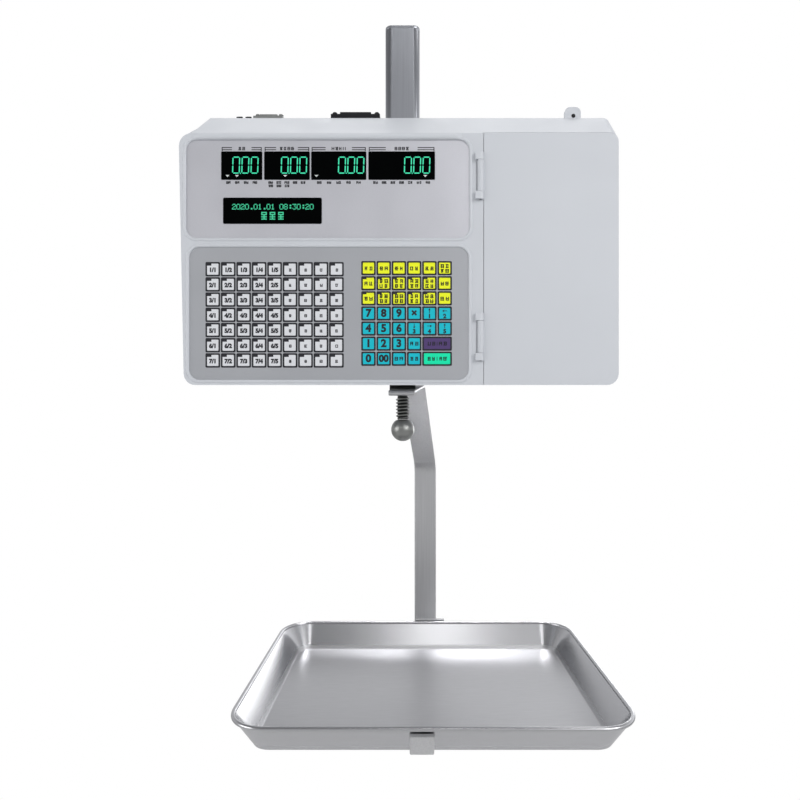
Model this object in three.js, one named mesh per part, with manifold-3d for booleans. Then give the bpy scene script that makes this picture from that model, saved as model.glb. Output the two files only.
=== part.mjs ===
// A hanging, label-printing retail price scale: a head on a square pole, with a display, a keypad and a
// printer behind a side-hinged door, and a steel pan carried below it by a cranked strap.
// Millimetres. +Z is up, the keypad faces -Y, and the origin is the centre of the pole's top end.
import * as THREE from "three";
import { mergeVertices } from "three/addons/utils/BufferGeometryUtils.js";
import Module from "manifold-3d";

const wasm = await Module();
wasm.setup();

// ---------- driving dimensions ----------

const GAP = 0.3; // clearance between pieces that move or drop in
const FINE = 20; // sides of a visible round piece
const COARSE = 12; // sides of a small or hidden round piece

const POLE = { side: 35, wall: 2, corner: 6.5, plate: 3, bottom: -250 };

const HEAD = { left: -212, leftFoot: -207.5, right: 206, front: -57.5, back: 57.5 };
const TOP = { face: -129, roof: -100.9, roofEdge: -30 }; // front face's top edge, flat top, its front edge
const BOTTOM = { front: -368.4, back: -358 }; // the underside rises towards the back
const SPLIT = -14; // where the front and rear shells meet
const WALL = 3;
const FACE_WALL = 4.5; // the front wall carries the two recessed panels

const DISPLAY = { left: -205.5, right: 64.4, top: -135, bottom: -229, corner: 10.5, depth: 1.6 };
const KEYPAD = { left: -202.7, right: 63.6, top: -237.1, bottom: -363.8, corner: 10.5, depth: 2.2 };
const PANEL_SHEET = 0.8;
const WINDOWS = {
  tare_window: [-171.9, -133.1],
  weight_window: [-131, -87.9],
  unit_price_window: [-86.3, -34.1],
  total_window: [-31.9, 31.2],
};
const WINDOW_TOP = -146.2;
const WINDOW_BOTTOM = -173;
const CLOCK = { left: -170.1, right: -76.4, top: -190.2, bottom: -214.9 };
const WINDOW_DEPTH = 1.2;

const DOOR = { left: 77.9, sheet: 3, seam: 0.5, knuckleLeft: 71.4 };
const HINGE = { x: 74.5, y: -58, knuckle: 3.1, lug: 3.2, lugLeft: 69.6, pin: 1.2, lugHeight: 7 };
const HINGE_ZONES = [
  [-155.2, -185],
  [-307.6, -338],
];
const EAR = { left: 161.9, right: 177.9, top: -89.5, corner: 5.5, hole: -98.4, bore: 2, sheet: 3.6 };
const BAY = { left: 88, right: 197, top: -140, bottom: -357 };

const CELL = { left: -145, right: 15, halfWidth: 15, top: -300, bottom: -340 };
const BEAM = { top: POLE.bottom, bottom: -262 };
const CHASSIS = { left: -195, right: 78, top: -115, bottom: -350, front: 17.5, sheet: 2 };

const STRAP_SHEET = 3;
const STRAP_WIDTH = { tip: 26.9, crank: 27.8, clip: 21.4 };
const STRAP_X = { tip: -0.9, crank: 27.5, clip: 18 }; // the strap runs sideways as it goes down and back
const TAB = { tip: -15, tipTop: -371, end: 58, slope: 7.5 }; // the tab rises towards the back by this angle
const HEM_RADIUS = 2.9; // the tab's rolled front edge
const CRANK = { y: 157, z: -460.6 }; // centre of the bend from slanted to vertical
const CLIP = { y: -104.2, tipY: -121, rise: 24.5 }; // the strap turns up here in front of the pan
const STOP = { left: 14.8, right: 51.8, bottom: -668, top: -660.2, sheet: 4 };

const PAN = {
  x: 28,
  y: 13,
  halfX: 181,
  halfY: 135.5,
  corner: 36,
  rim: -661,
  inset: 21, // how far the walls lean in
  depth: 28.9,
  sheet: 1,
};
const PAN_UNDERSIDE = PAN.rim - PAN.depth - PAN.sheet;
const CARRIER_TOP = PAN_UNDERSIDE - 0.1;

const HANGER = { front: -9, back: 13 };
const STUD = { radius: 7.2, root: 5.8, top: -352, ballTop: -401, turns: 7 };
const BALL = { z: -411.6, radius: 12.1 };

const KEYPAD_CABLE = { left: -80, right: -50, top: -300, bottom: -310 }; // the hole for its flat cable
const VENTS = { left: -150, right: -80, top: -150, pitch: 9, height: 3.5, rows: 8 };
const BOARD = { left: -190, right: -70, top: -130, bottom: -255, standoff: 5, thickness: 1.6 };
const PRINTER_PLATE = { left: 60, right: 198, top: -142, bottom: -352, front: 19.5, sheet: 2 };
const PRINTER_FRONT = -43; // rollers and spindles reach out to here from the plate
const ROLL = { x: 128, z: -190, radius: 35, core: 12.7, front: -42, back: 16 };
const PLATEN = { x: 182, z: -252, radius: 7, shaft: 3 };
const GUIDE = { x: 140, z: -241, radius: 4 };
const REWIND = { x: 128, z: -310, hub: 11, flange: 30 };
const HEAD_PIVOT = { x: 152, z: -230, radius: 2.5 };
const GEAR = { module: 1, platenTeeth: 32, motorTeeth: 16, front: 12, back: 17 };
const PULLEY = { drive: 5, driven: 10, front: 24, back: 30 };
const MOTOR = { offset: 24 / Math.SQRT2, radius: 16, back: 50 };
const EXIT_SLOT = { front: -46, back: 14, top: -240.5, bottom: -249 };
const CHUTE = { left: 190.6, sheet: 2.5 };

// ---------- geometry helpers ----------

function facingOut(geometry) {
  const soup = geometry.index ? geometry.toNonIndexed() : geometry;
  const bare = new THREE.BufferGeometry();
  bare.setAttribute("position", soup.getAttribute("position"));
  const merged = mergeVertices(bare, 1e-3);
  const [a, b, c] = [new THREE.Vector3(), new THREE.Vector3(), new THREE.Vector3()];
  const position = merged.getAttribute("position");
  const index = merged.index.array;
  let volume = 0;
  for (let i = 0; i < index.length; i += 3) {
    a.fromBufferAttribute(position, index[i]);
    b.fromBufferAttribute(position, index[i + 1]);
    c.fromBufferAttribute(position, index[i + 2]);
    volume += a.dot(b.cross(c));
  }
  if (volume < 0) {
    for (let i = 0; i < index.length; i += 3) {
      [index[i + 1], index[i + 2]] = [index[i + 2], index[i + 1]];
    }
  }
  return merged;
}

function toSolid(shape) {
  if (shape instanceof wasm.Manifold) return shape;
  const merged = facingOut(shape);
  const mesh = new wasm.Mesh({
    numProp: 3,
    vertProperties: merged.getAttribute("position").array,
    triVerts: new Uint32Array(merged.index.array),
  });
  return new wasm.Manifold(mesh);
}

function toGeometry(solid) {
  const mesh = solid.getMesh();
  const geometry = new THREE.BufferGeometry();
  geometry.setAttribute("position", new THREE.BufferAttribute(mesh.vertProperties, 3));
  geometry.setIndex(new THREE.BufferAttribute(mesh.triVerts, 1));
  return geometry;
}

function combine(method, first, others) {
  let solid = toSolid(first);
  for (const other of others) {
    solid = solid[method](toSolid(other));
  }
  return solid;
}

const cut = (base, ...tools) => combine("subtract", base, tools);
const join = (base, ...more) => combine("add", base, more);
const common = (base, ...more) => combine("intersect", base, more);

function block(x0, x1, y0, y1, z0, z1) {
  const box = new THREE.BoxGeometry(Math.abs(x1 - x0), Math.abs(y1 - y0), Math.abs(z1 - z0));
  return box.translate((x0 + x1) / 2, (y0 + y1) / 2, (z0 + z1) / 2);
}

function roundedRect(x0, x1, y0, y1, radius) {
  const shape = new THREE.Shape();
  shape.absarc(x1 - radius, y0 + radius, radius, -Math.PI / 2, 0);
  shape.absarc(x1 - radius, y1 - radius, radius, 0, Math.PI / 2);
  shape.absarc(x0 + radius, y1 - radius, radius, Math.PI / 2, Math.PI);
  shape.absarc(x0 + radius, y0 + radius, radius, Math.PI, Math.PI * 1.5);
  return shape;
}

function outline(points) {
  return new THREE.Shape(points.map(([u, v]) => new THREE.Vector2(u, v)));
}

function extrude(shape, depth, curveSegments = 5) {
  return new THREE.ExtrudeGeometry(shape, { depth, curveSegments, bevelEnabled: false });
}

// The shape is drawn in X and Z and runs from y0 to y1.
function prismY(shape, y0, y1, curveSegments) {
  return extrude(shape, y1 - y0, curveSegments).rotateX(Math.PI / 2).translate(0, y1, 0);
}

// The shape is drawn in Y and Z and runs from x0 to x1.
function prismX(shape, x0, x1, curveSegments) {
  const turn = new THREE.Matrix4().makeBasis(
    new THREE.Vector3(0, 1, 0),
    new THREE.Vector3(0, 0, 1),
    new THREE.Vector3(1, 0, 0),
  );
  return extrude(shape, x1 - x0, curveSegments).applyMatrix4(turn).translate(x0, 0, 0);
}

function prismZ(shape, z0, z1, curveSegments) {
  return extrude(shape, z1 - z0, curveSegments).translate(0, 0, z0);
}

function rodY(x, z, radius, y0, y1, sides = COARSE) {
  return new THREE.CylinderGeometry(radius, radius, y1 - y0, sides).translate(x, (y0 + y1) / 2, z);
}

function rodZ(x, y, radius, z0, z1, sides = COARSE) {
  const rod = new THREE.CylinderGeometry(radius, radius, z1 - z0, sides).rotateX(Math.PI / 2);
  return rod.translate(x, y, (z0 + z1) / 2);
}

// profile: [radius, distance along the axis] from one end on the axis to the other, or closed on itself.
function turned(profile, sides) {
  return new THREE.LatheGeometry(profile.map(([r, along]) => new THREE.Vector2(r, along)), sides);
}

function turnedY(profile, x, z, sides = COARSE) {
  return turned(profile, sides).translate(x, 0, z);
}

function turnedZ(profile, x, y, sides = FINE) {
  return turned(profile, sides).rotateX(Math.PI / 2).translate(x, y, 0);
}

// A turned profile whose four quarters are moved apart, which gives a tray with rounded corners.
function turnedTray(profile, halfX, halfY, sidesPerCorner) {
  const sides = sidesPerCorner * 4;
  const points = profile.map(([r, along]) => new THREE.Vector2(r, along));
  const tray = new THREE.LatheGeometry(points, sides, Math.PI / sides).rotateX(Math.PI / 2);
  const position = tray.getAttribute("position");
  for (let i = 0; i < position.count; i++) {
    const x = position.getX(i);
    const y = position.getY(i);
    if (Math.hypot(x, y) > 0.01) {
      position.setXY(i, x + Math.sign(x) * halfX, y + Math.sign(y) * halfY);
    }
  }
  return tray;
}

// Rings of points, all with the same count, joined into one closed skin.
function loft(rings) {
  const count = rings[0].length;
  const vertices = rings.flat().flatMap((point) => [point.x, point.y, point.z]);
  const index = [];
  for (let ring = 0; ring + 1 < rings.length; ring++) {
    for (let i = 0; i < count; i++) {
      const a = ring * count + i;
      const b = ring * count + ((i + 1) % count);
      index.push(a, b, b + count, a, b + count, a + count);
    }
  }
  const flat = (ring) => ring.map((point) => new THREE.Vector2(point.x, point.z));
  const last = (rings.length - 1) * count;
  for (const [a, b, c] of THREE.ShapeUtils.triangulateShape(flat(rings[0]), [])) {
    index.push(c, b, a);
  }
  for (const [a, b, c] of THREE.ShapeUtils.triangulateShape(flat(rings.at(-1)), [])) {
    index.push(last + a, last + b, last + c);
  }
  const geometry = new THREE.BufferGeometry();
  geometry.setAttribute("position", new THREE.Float32BufferAttribute(vertices, 3));
  geometry.setIndex(index);
  return geometry;
}

function gearShape(teeth, module, bore) {
  const pitch = (teeth * module) / 2;
  const shape = new THREE.Shape();
  const step = (Math.PI * 2) / teeth;
  // Each tooth is a root, a flank, a crest and a flank, slightly narrow so that a pair runs clear.
  const corners = [
    [-0.27, pitch - 1.2 * module],
    [-0.13, pitch + 0.85 * module],
    [0.13, pitch + 0.85 * module],
    [0.27, pitch - 1.2 * module],
  ];
  for (let tooth = 0; tooth < teeth; tooth++) {
    for (const [part, radius] of corners) {
      const angle = (tooth + part) * step;
      shape[tooth === 0 && part === corners[0][0] ? "moveTo" : "lineTo"](
        radius * Math.cos(angle),
        radius * Math.sin(angle),
      );
    }
  }
  shape.closePath();
  const hole = new THREE.Path();
  hole.absarc(0, 0, bore, 0, Math.PI * 2, true);
  shape.holes.push(hole);
  return shape;
}

// ---------- assembly ----------

const scale = new THREE.Group();

const FINISH = {
  housing: [0xced2d6, 0.45, 0],
  silver: [0xc3c6ca, 0.5, 0.1],
  darkSilver: [0xa8aaac, 0.55, 0.1],
  black: [0x0b0c0d, 0.25, 0],
  steel: [0x9a9da0, 0.35, 0.9],
  darkSteel: [0x4d5052, 0.35, 0.9],
  aluminium: [0xb9bbbd, 0.4, 0.8],
  board: [0x1f5a36, 0.6, 0],
  rubber: [0x26272a, 0.8, 0],
  paper: [0xf2f0ea, 0.8, 0],
  nylon: [0xe6e2d6, 0.5, 0],
};

function add(name, shape, finish) {
  const [color, roughness, metalness] = FINISH[finish];
  const closed = facingOut(shape instanceof wasm.Manifold ? toGeometry(shape.simplify(0.01)) : shape);
  closed.computeVertexNormals();
  const mesh = new THREE.Mesh(closed, new THREE.MeshStandardMaterial({ color, roughness, metalness }));
  mesh.name = name;
  scale.add(mesh);
}

// ---------- pole and load path ----------

function makePole() {
  const half = POLE.side / 2;
  const inner = half - POLE.wall;
  const section = roundedRect(-half, half, -half, half, POLE.corner);
  section.holes.push(roundedRect(-inner, inner, -inner, inner, POLE.corner - POLE.wall));
  add("pole_tube", prismZ(section, POLE.bottom, -POLE.plate, 4), "steel");
  const lid = roundedRect(-half, half, -half, half, POLE.corner);
  add("pole_top_plate", prismZ(lid, -POLE.plate, 0, 4), "steel");
}

function makeLoadPath() {
  const half = POLE.side / 2;
  add("load_beam", block(CELL.left - 5, half, -half, half, BEAM.bottom, BEAM.top), "steel");
  const w = CELL.halfWidth;
  add("cell_spacer", block(CELL.left, CELL.left + 40, -w, w, CELL.top, BEAM.bottom), "steel");
  const middle = (CELL.left + CELL.right) / 2;
  const height = (CELL.top + CELL.bottom) / 2;
  // The two joined bores leave the thin flexing webs of a single-point cell.
  const webs = roundedRect(middle - 34, middle + 34, height - 13, height + 13, 13);
  const flexure = prismY(webs, -w - 1, w + 1, 6);
  const bar = block(CELL.left, CELL.right, -w, w, CELL.bottom, CELL.top);
  add("load_cell", cut(bar, flexure), "aluminium");
}

function tabTop(y) {
  return TAB.tipTop + (y - TAB.tip) * Math.tan((TAB.slope * Math.PI) / 180);
}

function makeHangerBlock() {
  const { front, back } = HANGER;
  const profile = outline([
    [front, CELL.bottom],
    [front, tabTop(front) + 4],
    [front - 4, tabTop(front - 4) + 0.05],
    [back, tabTop(back) + 0.05],
    [back, CELL.bottom],
  ]);
  const halfWidth = STRAP_WIDTH.tip / 2;
  const body = prismX(profile, -halfWidth, halfWidth);
  const bore = rodZ(0, 0, STUD.radius + 0.4, TAB.tipTop - 9, STUD.top, FINE);
  add("hanger_block", cut(body, bore), "darkSteel");
}

function makeClampScrew() {
  const threadTop = TAB.tipTop - 6;
  const pitch = (threadTop - STUD.ballTop) / STUD.turns;
  const profile = [
    [0, STUD.ballTop + 0.2],
    [STUD.root, STUD.ballTop + 0.2],
  ];
  for (let turn = 0; turn < STUD.turns; turn++) {
    const start = STUD.ballTop + 0.2 + turn * pitch;
    profile.push([STUD.radius, start + pitch * 0.4]);
    profile.push([STUD.radius, start + pitch * 0.6]);
    profile.push([STUD.root, start + pitch]);
  }
  profile.push([STUD.radius, threadTop + 2]);
  profile.push([STUD.radius, STUD.top - 2]);
  profile.push([STUD.root, STUD.top - 0.5]);
  profile.push([0, STUD.top - 0.5]);
  add("clamp_stud", turnedZ(profile, 0, 0, 16), "darkSteel");
  const ball = new THREE.SphereGeometry(BALL.radius, FINE, 12).rotateX(Math.PI / 2).translate(0, 0, BALL.z);
  const flat = block(-20, 20, -20, 20, STUD.ballTop, BALL.z + 20);
  add("ball_knob", cut(ball, flat), "darkSteel");
}

// ---------- head shells ----------

function cornerPoints(cx, cz, rx, rz, start, fullness, steps = 6) {
  const points = [];
  for (let i = 0; i <= steps; i++) {
    const t = i / steps;
    const angle = ((start + 90 * t) * Math.PI) / 180;
    const from = (start * Math.PI) / 180;
    const to = ((start + 90) * Math.PI) / 180;
    const chordX = Math.cos(from) * (1 - t) + Math.cos(to) * t;
    const chordZ = Math.sin(from) * (1 - t) + Math.sin(to) * t;
    const u = chordX + (Math.cos(angle) - chordX) * fullness;
    const v = chordZ + (Math.sin(angle) - chordZ) * fullness;
    points.push([cx + rx * u, cz + rz * v]);
  }
  return points;
}

// One cross-section of the head at depth y: left side, cut left shoulder, round right shoulder.
function headRing(y, top, bottom, inset, shoulderX, shoulderZ, fullness, rightRadius) {
  const left = HEAD.left + inset;
  const leftFoot = HEAD.leftFoot + inset;
  const right = HEAD.right - inset;
  const foot = 11 - inset;
  const roof = top - inset;
  const floor = bottom + inset;
  const radius = rightRadius - inset * 0.6;
  const outlinePoints = [
    ...cornerPoints(right - foot, floor + foot, foot, foot, -90, 1),
    ...cornerPoints(right - radius, roof - radius, radius, radius, 0, 1),
    ...cornerPoints(left + shoulderX, roof - shoulderZ, shoulderX, shoulderZ, 90, fullness),
    ...cornerPoints(leftFoot + foot, floor + foot, foot, foot, 180, 1),
  ];
  return outlinePoints.map(([x, z]) => new THREE.Vector3(x, y, z));
}

function headSolid(inset, frontWall) {
  const slope = (BOTTOM.back - BOTTOM.front) / (HEAD.back - HEAD.front);
  const floorAt = (y) => BOTTOM.front + (y - HEAD.front) * slope;
  const front = HEAD.front + frontWall;
  return loft([
    headRing(front, TOP.face - frontWall * 0.3, floorAt(front), inset, 12, 12, 1, 8),
    headRing(TOP.roofEdge + inset * 0.4, TOP.roof, floorAt(TOP.roofEdge), inset, 21, 41, 0.25, 6),
    headRing(HEAD.back - inset, TOP.roof, floorAt(HEAD.back), inset, 21, 41, 0.25, 6),
  ]);
}

const CONNECTORS = {
  parallel_port: { left: -71.5, right: -22.4, shellInset: 9, shellTop: -93.2, flangeTop: -96 },
  serial_port: { left: -149, right: -119, shellInset: 6, shellTop: -95.4, flangeTop: -98 },
  network_jack: { left: -165.6, right: -159.4, shellInset: 0.8, shellTop: -97.8, flangeTop: -99 },
  drawer_jack: { left: -156.6, right: -150.6, shellInset: 0.8, shellTop: -97.8, flangeTop: -99 },
};
const CONNECTOR_Y = { front: -28, back: -17, flangeFront: -29, flangeBack: -16 };

function connectorHole({ left, right, shellInset }) {
  return block(
    left + shellInset - GAP,
    right - shellInset + GAP,
    CONNECTOR_Y.front + 1 - GAP,
    CONNECTOR_Y.back - 1 + GAP,
    TOP.roof - 8,
    TOP.roof + 5,
  );
}

function makeConnectors() {
  for (const [name, port] of Object.entries(CONNECTORS)) {
    const { left, right, shellInset, shellTop, flangeTop } = port;
    const flange = block(left, right, CONNECTOR_Y.flangeFront, CONNECTOR_Y.flangeBack, TOP.roof, flangeTop);
    const shell = block(
      left + shellInset,
      right - shellInset,
      CONNECTOR_Y.front + 1,
      CONNECTOR_Y.back - 1,
      TOP.roof - 10,
      shellTop,
    );
    add(name, join(flange, shell), name === "serial_port" ? "steel" : "black");
  }
}

const POLE_HOLE = block(-18.1, 18.1, -18.1, 18.1, -130, -90);

// The Z range of the lug above and below each of the door's knuckles.
function lugRanges([top, bottom]) {
  return [
    [top + GAP, top + GAP + HINGE.lugHeight],
    [bottom - GAP - HINGE.lugHeight, bottom - GAP],
  ];
}

// A lug is round on the door's side, which the door's edge sweeps past, and square on the other.
function hingeLugs() {
  return HINGE_ZONES.flatMap(lugRanges).map(([z0, z1]) => {
    const round = rodZ(HINGE.x, HINGE.y, HINGE.lug, z0, z1);
    const square = block(HINGE.lugLeft, HINGE.x, HINGE.y - HINGE.lug + 0.1, HEAD.front + 2, z0, z1);
    const root = block(HINGE.x - 1, HINGE.x + HINGE.lug - 0.6, HINGE.y, HEAD.front + 2, z0, z1);
    return join(round, square, root);
  });
}

function hingeBores() {
  return HINGE_ZONES.map((zone) => {
    const [[, top], [bottom]] = lugRanges(zone);
    return rodZ(HINGE.x, HINGE.y, HINGE.pin + 0.15, bottom - 0.5, top + 0.5);
  });
}

function doorPocket() {
  const floor = HEAD.front + DOOR.sheet + GAP;
  const edge = block(DOOR.left - DOOR.seam, HEAD.right + 5, HEAD.front - 5, floor, -400, -128);
  const wells = HINGE_ZONES.map(([top, bottom]) =>
    block(DOOR.knuckleLeft - DOOR.seam, DOOR.left + 1, HEAD.front - 5, HEAD.front + 4, bottom, top),
  );
  return [edge, ...wells];
}

function exitSlot() {
  const { front, back, bottom, top } = EXIT_SLOT;
  return block(HEAD.right - 10, HEAD.right + 5, front, back, bottom, top);
}

function lockEar() {
  const { left, right, top, corner } = EAR;
  const front = TOP.roofEdge + 0.6;
  const back = front + EAR.sheet;
  const tab = outline([
    [left, TOP.roof - 2],
    [right, TOP.roof - 2],
    ...cornerPoints(right - corner, top - corner, corner, corner, 0, 1),
    ...cornerPoints(left + corner, top - corner, corner, corner, 90, 1),
  ]);
  const hole = rodY((left + right) / 2 + 0.6, EAR.hole, EAR.bore, front - 1, back + 1);
  return cut(prismY(tab, front, back), hole);
}

function makeFrontHousing() {
  const shell = common(headSolid(0, 0), block(-300, 300, -100, SPLIT, -400, -90));
  const cavity = common(headSolid(WALL, FACE_WALL), block(-300, 300, -100, SPLIT + 1, -400, -90));
  const hollow = cut(shell, cavity);
  const d = DISPLAY;
  const k = KEYPAD;
  const displayWell = prismY(
    roundedRect(d.left, d.right, d.bottom, d.top, d.corner),
    HEAD.front - 5,
    HEAD.front + d.depth,
  );
  const keypadWell = prismY(
    roundedRect(k.left, k.right, k.bottom, k.top, k.corner),
    HEAD.front - 5,
    HEAD.front + k.depth,
  );
  const sightHoles = Object.values(WINDOWS).map(([left, right]) =>
    block(left + 2, right - 2, -60, -50, WINDOW_BOTTOM + 2, WINDOW_TOP - 2),
  );
  const clockHole = block(CLOCK.left + 2, CLOCK.right - 2, -60, -50, CLOCK.bottom + 2, CLOCK.top - 2);
  const cable = KEYPAD_CABLE;
  const cableHole = block(cable.left, cable.right, -60, -50, cable.bottom, cable.top);
  const bayMouth = prismY(roundedRect(BAY.left, BAY.right, BAY.bottom, BAY.top, 5), -60, -50, 3);
  const body = cut(
    hollow,
    displayWell,
    keypadWell,
    clockHole,
    cableHole,
    bayMouth,
    exitSlot(),
    POLE_HOLE,
    ...sightHoles,
    ...doorPocket(),
    ...Object.values(CONNECTORS).map(connectorHole),
  );
  add("front_housing", cut(join(body, lockEar(), ...hingeLugs()), ...hingeBores()), "housing");
}

const INLET = { left: -152, right: -124, bottom: -338, top: -318 };
const SWITCH = { left: -185, right: -171, bottom: -339, top: -317 };
const SCREWS = {
  rear_screw_upper_left: [-185, -150],
  rear_screw_lower_left: [-185, -300],
  rear_screw_upper_right: [188, -150],
  rear_screw_lower_right: [188, -335],
};

function makeRearHousing() {
  const shell = common(headSolid(0, 0), block(-300, 300, SPLIT, 100, -400, -90));
  const cavity = common(headSolid(WALL, FACE_WALL), block(-300, 300, SPLIT - 1, 100, -400, -90));
  const vents = [];
  for (let row = 0; row < VENTS.rows; row++) {
    const z = VENTS.top - row * VENTS.pitch;
    vents.push(block(VENTS.left, VENTS.right, 50, 60, z, z - VENTS.height));
  }
  const reach = STRAP_WIDTH.tip / 2 + 2.5;
  const hangerHole = block(-reach, reach, SPLIT + 0.6, HANGER.back + 4, -380, -340);
  const inletHole = block(INLET.left, INLET.right, 50, 60, INLET.bottom, INLET.top);
  const switchHole = block(SWITCH.left, SWITCH.right, 50, 60, SWITCH.bottom, SWITCH.top);
  const screwHoles = Object.values(SCREWS).map(([x, z]) => rodY(x, z, 2, 50, 60));
  const tools = [hangerHole, inletHole, switchHole, exitSlot(), POLE_HOLE, ...vents, ...screwHoles];
  add("rear_housing", cut(cut(shell, cavity), ...tools), "housing");
}

function makeScrews() {
  for (const [name, [x, z]] of Object.entries(SCREWS)) {
    const shank = HEAD.back - 8;
    const profile = [
      [0, shank],
      [1.7, shank],
      [1.7, HEAD.back],
      [3.4, HEAD.back],
      [3.2, HEAD.back + 1.4],
      [2.2, HEAD.back + 2.2],
      [0, HEAD.back + 2.4],
    ];
    add(name, turnedY(profile, x, z), "steel");
  }
}

// ---------- front panels, windows and boards ----------

function makeDisplayPanel() {
  const d = DISPLAY;
  const floor = HEAD.front + d.depth;
  const plate = roundedRect(d.left + 0.2, d.right - 0.2, d.bottom + 0.2, d.top - 0.2, d.corner - 0.2);
  const holes = Object.values(WINDOWS).map(([left, right]) =>
    roundedRect(left - 0.2, right + 0.2, WINDOW_BOTTOM - 0.2, WINDOW_TOP + 0.2, 1),
  );
  holes.push(roundedRect(CLOCK.left - 0.2, CLOCK.right + 0.2, CLOCK.bottom - 0.2, CLOCK.top + 0.2, 1.5));
  plate.holes.push(...holes);
  add("display_panel", prismY(plate, floor - PANEL_SHEET, floor, 4), "silver");
  for (const [name, [left, right]] of Object.entries(WINDOWS)) {
    const pane = roundedRect(left, right, WINDOW_BOTTOM, WINDOW_TOP, 1);
    add(name, prismY(pane, floor - WINDOW_DEPTH, floor, 3), "black");
  }
  const pane = roundedRect(CLOCK.left, CLOCK.right, CLOCK.bottom, CLOCK.top, 1.5);
  add("clock_window", prismY(pane, floor - WINDOW_DEPTH, floor, 3), "black");
}

function makeKeypad() {
  const k = KEYPAD;
  const floor = HEAD.front + k.depth;
  const sheet = roundedRect(k.left + 0.2, k.right - 0.2, k.bottom + 0.2, k.top - 0.2, k.corner - 0.2);
  const circuit = roundedRect(k.left + 3, k.right - 3, k.bottom + 3, k.top - 3, k.corner - 3);
  add("keypad_circuit", prismY(circuit, floor - PANEL_SHEET, floor, 3), "board");
  add("keypad_overlay", prismY(sheet, floor - PANEL_SHEET * 2, floor - PANEL_SHEET, 4), "darkSilver");
}

function makeDisplayModules() {
  const back = HEAD.front + FACE_WALL; // inner face of the front wall
  const tubes = { digit_tube: [-176, 35, -177, -143], clock_tube: [-173, -74, -217, -188] };
  for (const [name, [left, right, bottom, top]] of Object.entries(tubes)) {
    add(name, block(left, right, back + 0.2, back + 5, bottom, top), "black");
  }
  add("display_board", block(-198, 60, back + 5, back + 6.6, -224, -140), "board");
}

function makeChassis() {
  const c = CHASSIS;
  add("chassis_plate", block(c.left, c.right, c.front, c.front + c.sheet, c.bottom, c.top), "steel");
  const rear = c.front + c.sheet;
  const b = BOARD;
  const under = rear + b.standoff;
  const pcb = block(b.left, b.right, under, under + b.thickness, b.bottom, b.top);
  const posts = [];
  for (const x of [b.left + 6, b.right - 6]) {
    for (const z of [b.bottom + 6, b.top - 6]) {
      posts.push(rodY(x, z, 3, rear, under + 0.5, 8));
    }
  }
  // A processor, a memory module and a long connector: left, right, height, bottom and top.
  const chips = [
    [b.left + 40, b.left + 65, 2, -205, -180],
    [b.left + 80, b.left + 100, 3, -175, -150],
    [b.left + 15, b.left + 25, 9, -240, -160],
  ].map(([left, right, height, bottom, top]) => {
    return block(left, right, under + 1, under + b.thickness + height, bottom, top);
  });
  add("main_board", join(pcb, ...posts, ...chips), "board");
  add("power_supply", block(-190, -90, rear, 48, -347, -268), "aluminium");
}

function makeRearFittings() {
  const i = INLET;
  const face = HEAD.back;
  const flange = block(i.left - 3, i.right + 3, face, face + 2, i.bottom - 3, i.top + 3);
  const body = block(i.left + GAP, i.right - GAP, 48.3, face + 0.5, i.bottom + GAP, i.top - GAP);
  const socket = block(i.left + 2.5, i.right - 2.5, 52, face + 5, i.bottom + 3, i.top - 3);
  add("power_inlet", cut(join(flange, body), socket), "black");
  const s = SWITCH;
  const bezel = block(s.left - 1.5, s.right + 1.5, face, face + 1.6, s.bottom - 1.5, s.top + 1.5);
  const box = block(s.left + GAP, s.right - GAP, 49, face + 0.5, s.bottom + GAP, s.top - GAP);
  const well = block(s.left + 1.5, s.right - 1.5, 50.5, face + 5, s.bottom + 1.5, s.top - 1.5);
  add("switch_body", cut(join(bezel, box), well), "black");
  const middle = (s.bottom + s.top) / 2;
  const rocker = outline([
    [face - 2.5, middle - 8.6],
    [face + 0.6, middle - 8.6],
    [face + 1.6, middle],
    [face + 4.2, middle + 8],
    [face + 1.2, middle + 8.8],
    [face - 3.5, middle],
  ]);
  add("power_rocker", prismX(rocker, s.left + 2.2, s.right - 2.2), "black");
}

// ---------- label printer ----------

function makePrinterFrame() {
  const p = PRINTER_PLATE;
  const plate = block(p.left, p.right, p.front, p.front + p.sheet, p.bottom, p.top);
  const through = (x, z, radius) => rodY(x, z, radius, p.front - 1, p.front + p.sheet + 1);
  const holes = [
    through(PLATEN.x, PLATEN.z, PLATEN.shaft + 0.4),
    through(REWIND.x, REWIND.z, PLATEN.shaft + 0.4),
    through(PLATEN.x - MOTOR.offset, PLATEN.z + MOTOR.offset, 3.4),
  ];
  add("printer_plate", cut(plate, ...holes), "steel");
  const spindle = [
    [0, PRINTER_FRONT - 3],
    [ROLL.core - 2, PRINTER_FRONT - 3],
    [ROLL.core - 0.8, PRINTER_FRONT - 1],
    [ROLL.core - 0.8, p.front],
    [0, p.front],
  ];
  add("label_spindle", turnedY(spindle, ROLL.x, ROLL.z, FINE), "nylon");
  const chuteTop = EXIT_SLOT.bottom - 0.2;
  const chute = block(CHUTE.left, HEAD.right - WALL, PRINTER_FRONT, 10, chuteTop - CHUTE.sheet, chuteTop);
  add("exit_chute", chute, "steel");
  add("head_pivot", rodY(HEAD_PIVOT.x, HEAD_PIVOT.z, HEAD_PIVOT.radius, PRINTER_FRONT - 1, p.front), "steel");
  const guidePin = rodY(GUIDE.x, GUIDE.z, 1.8, PRINTER_FRONT - 2, p.front, 8);
  add("guide_pin", guidePin, "steel");
}

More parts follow.
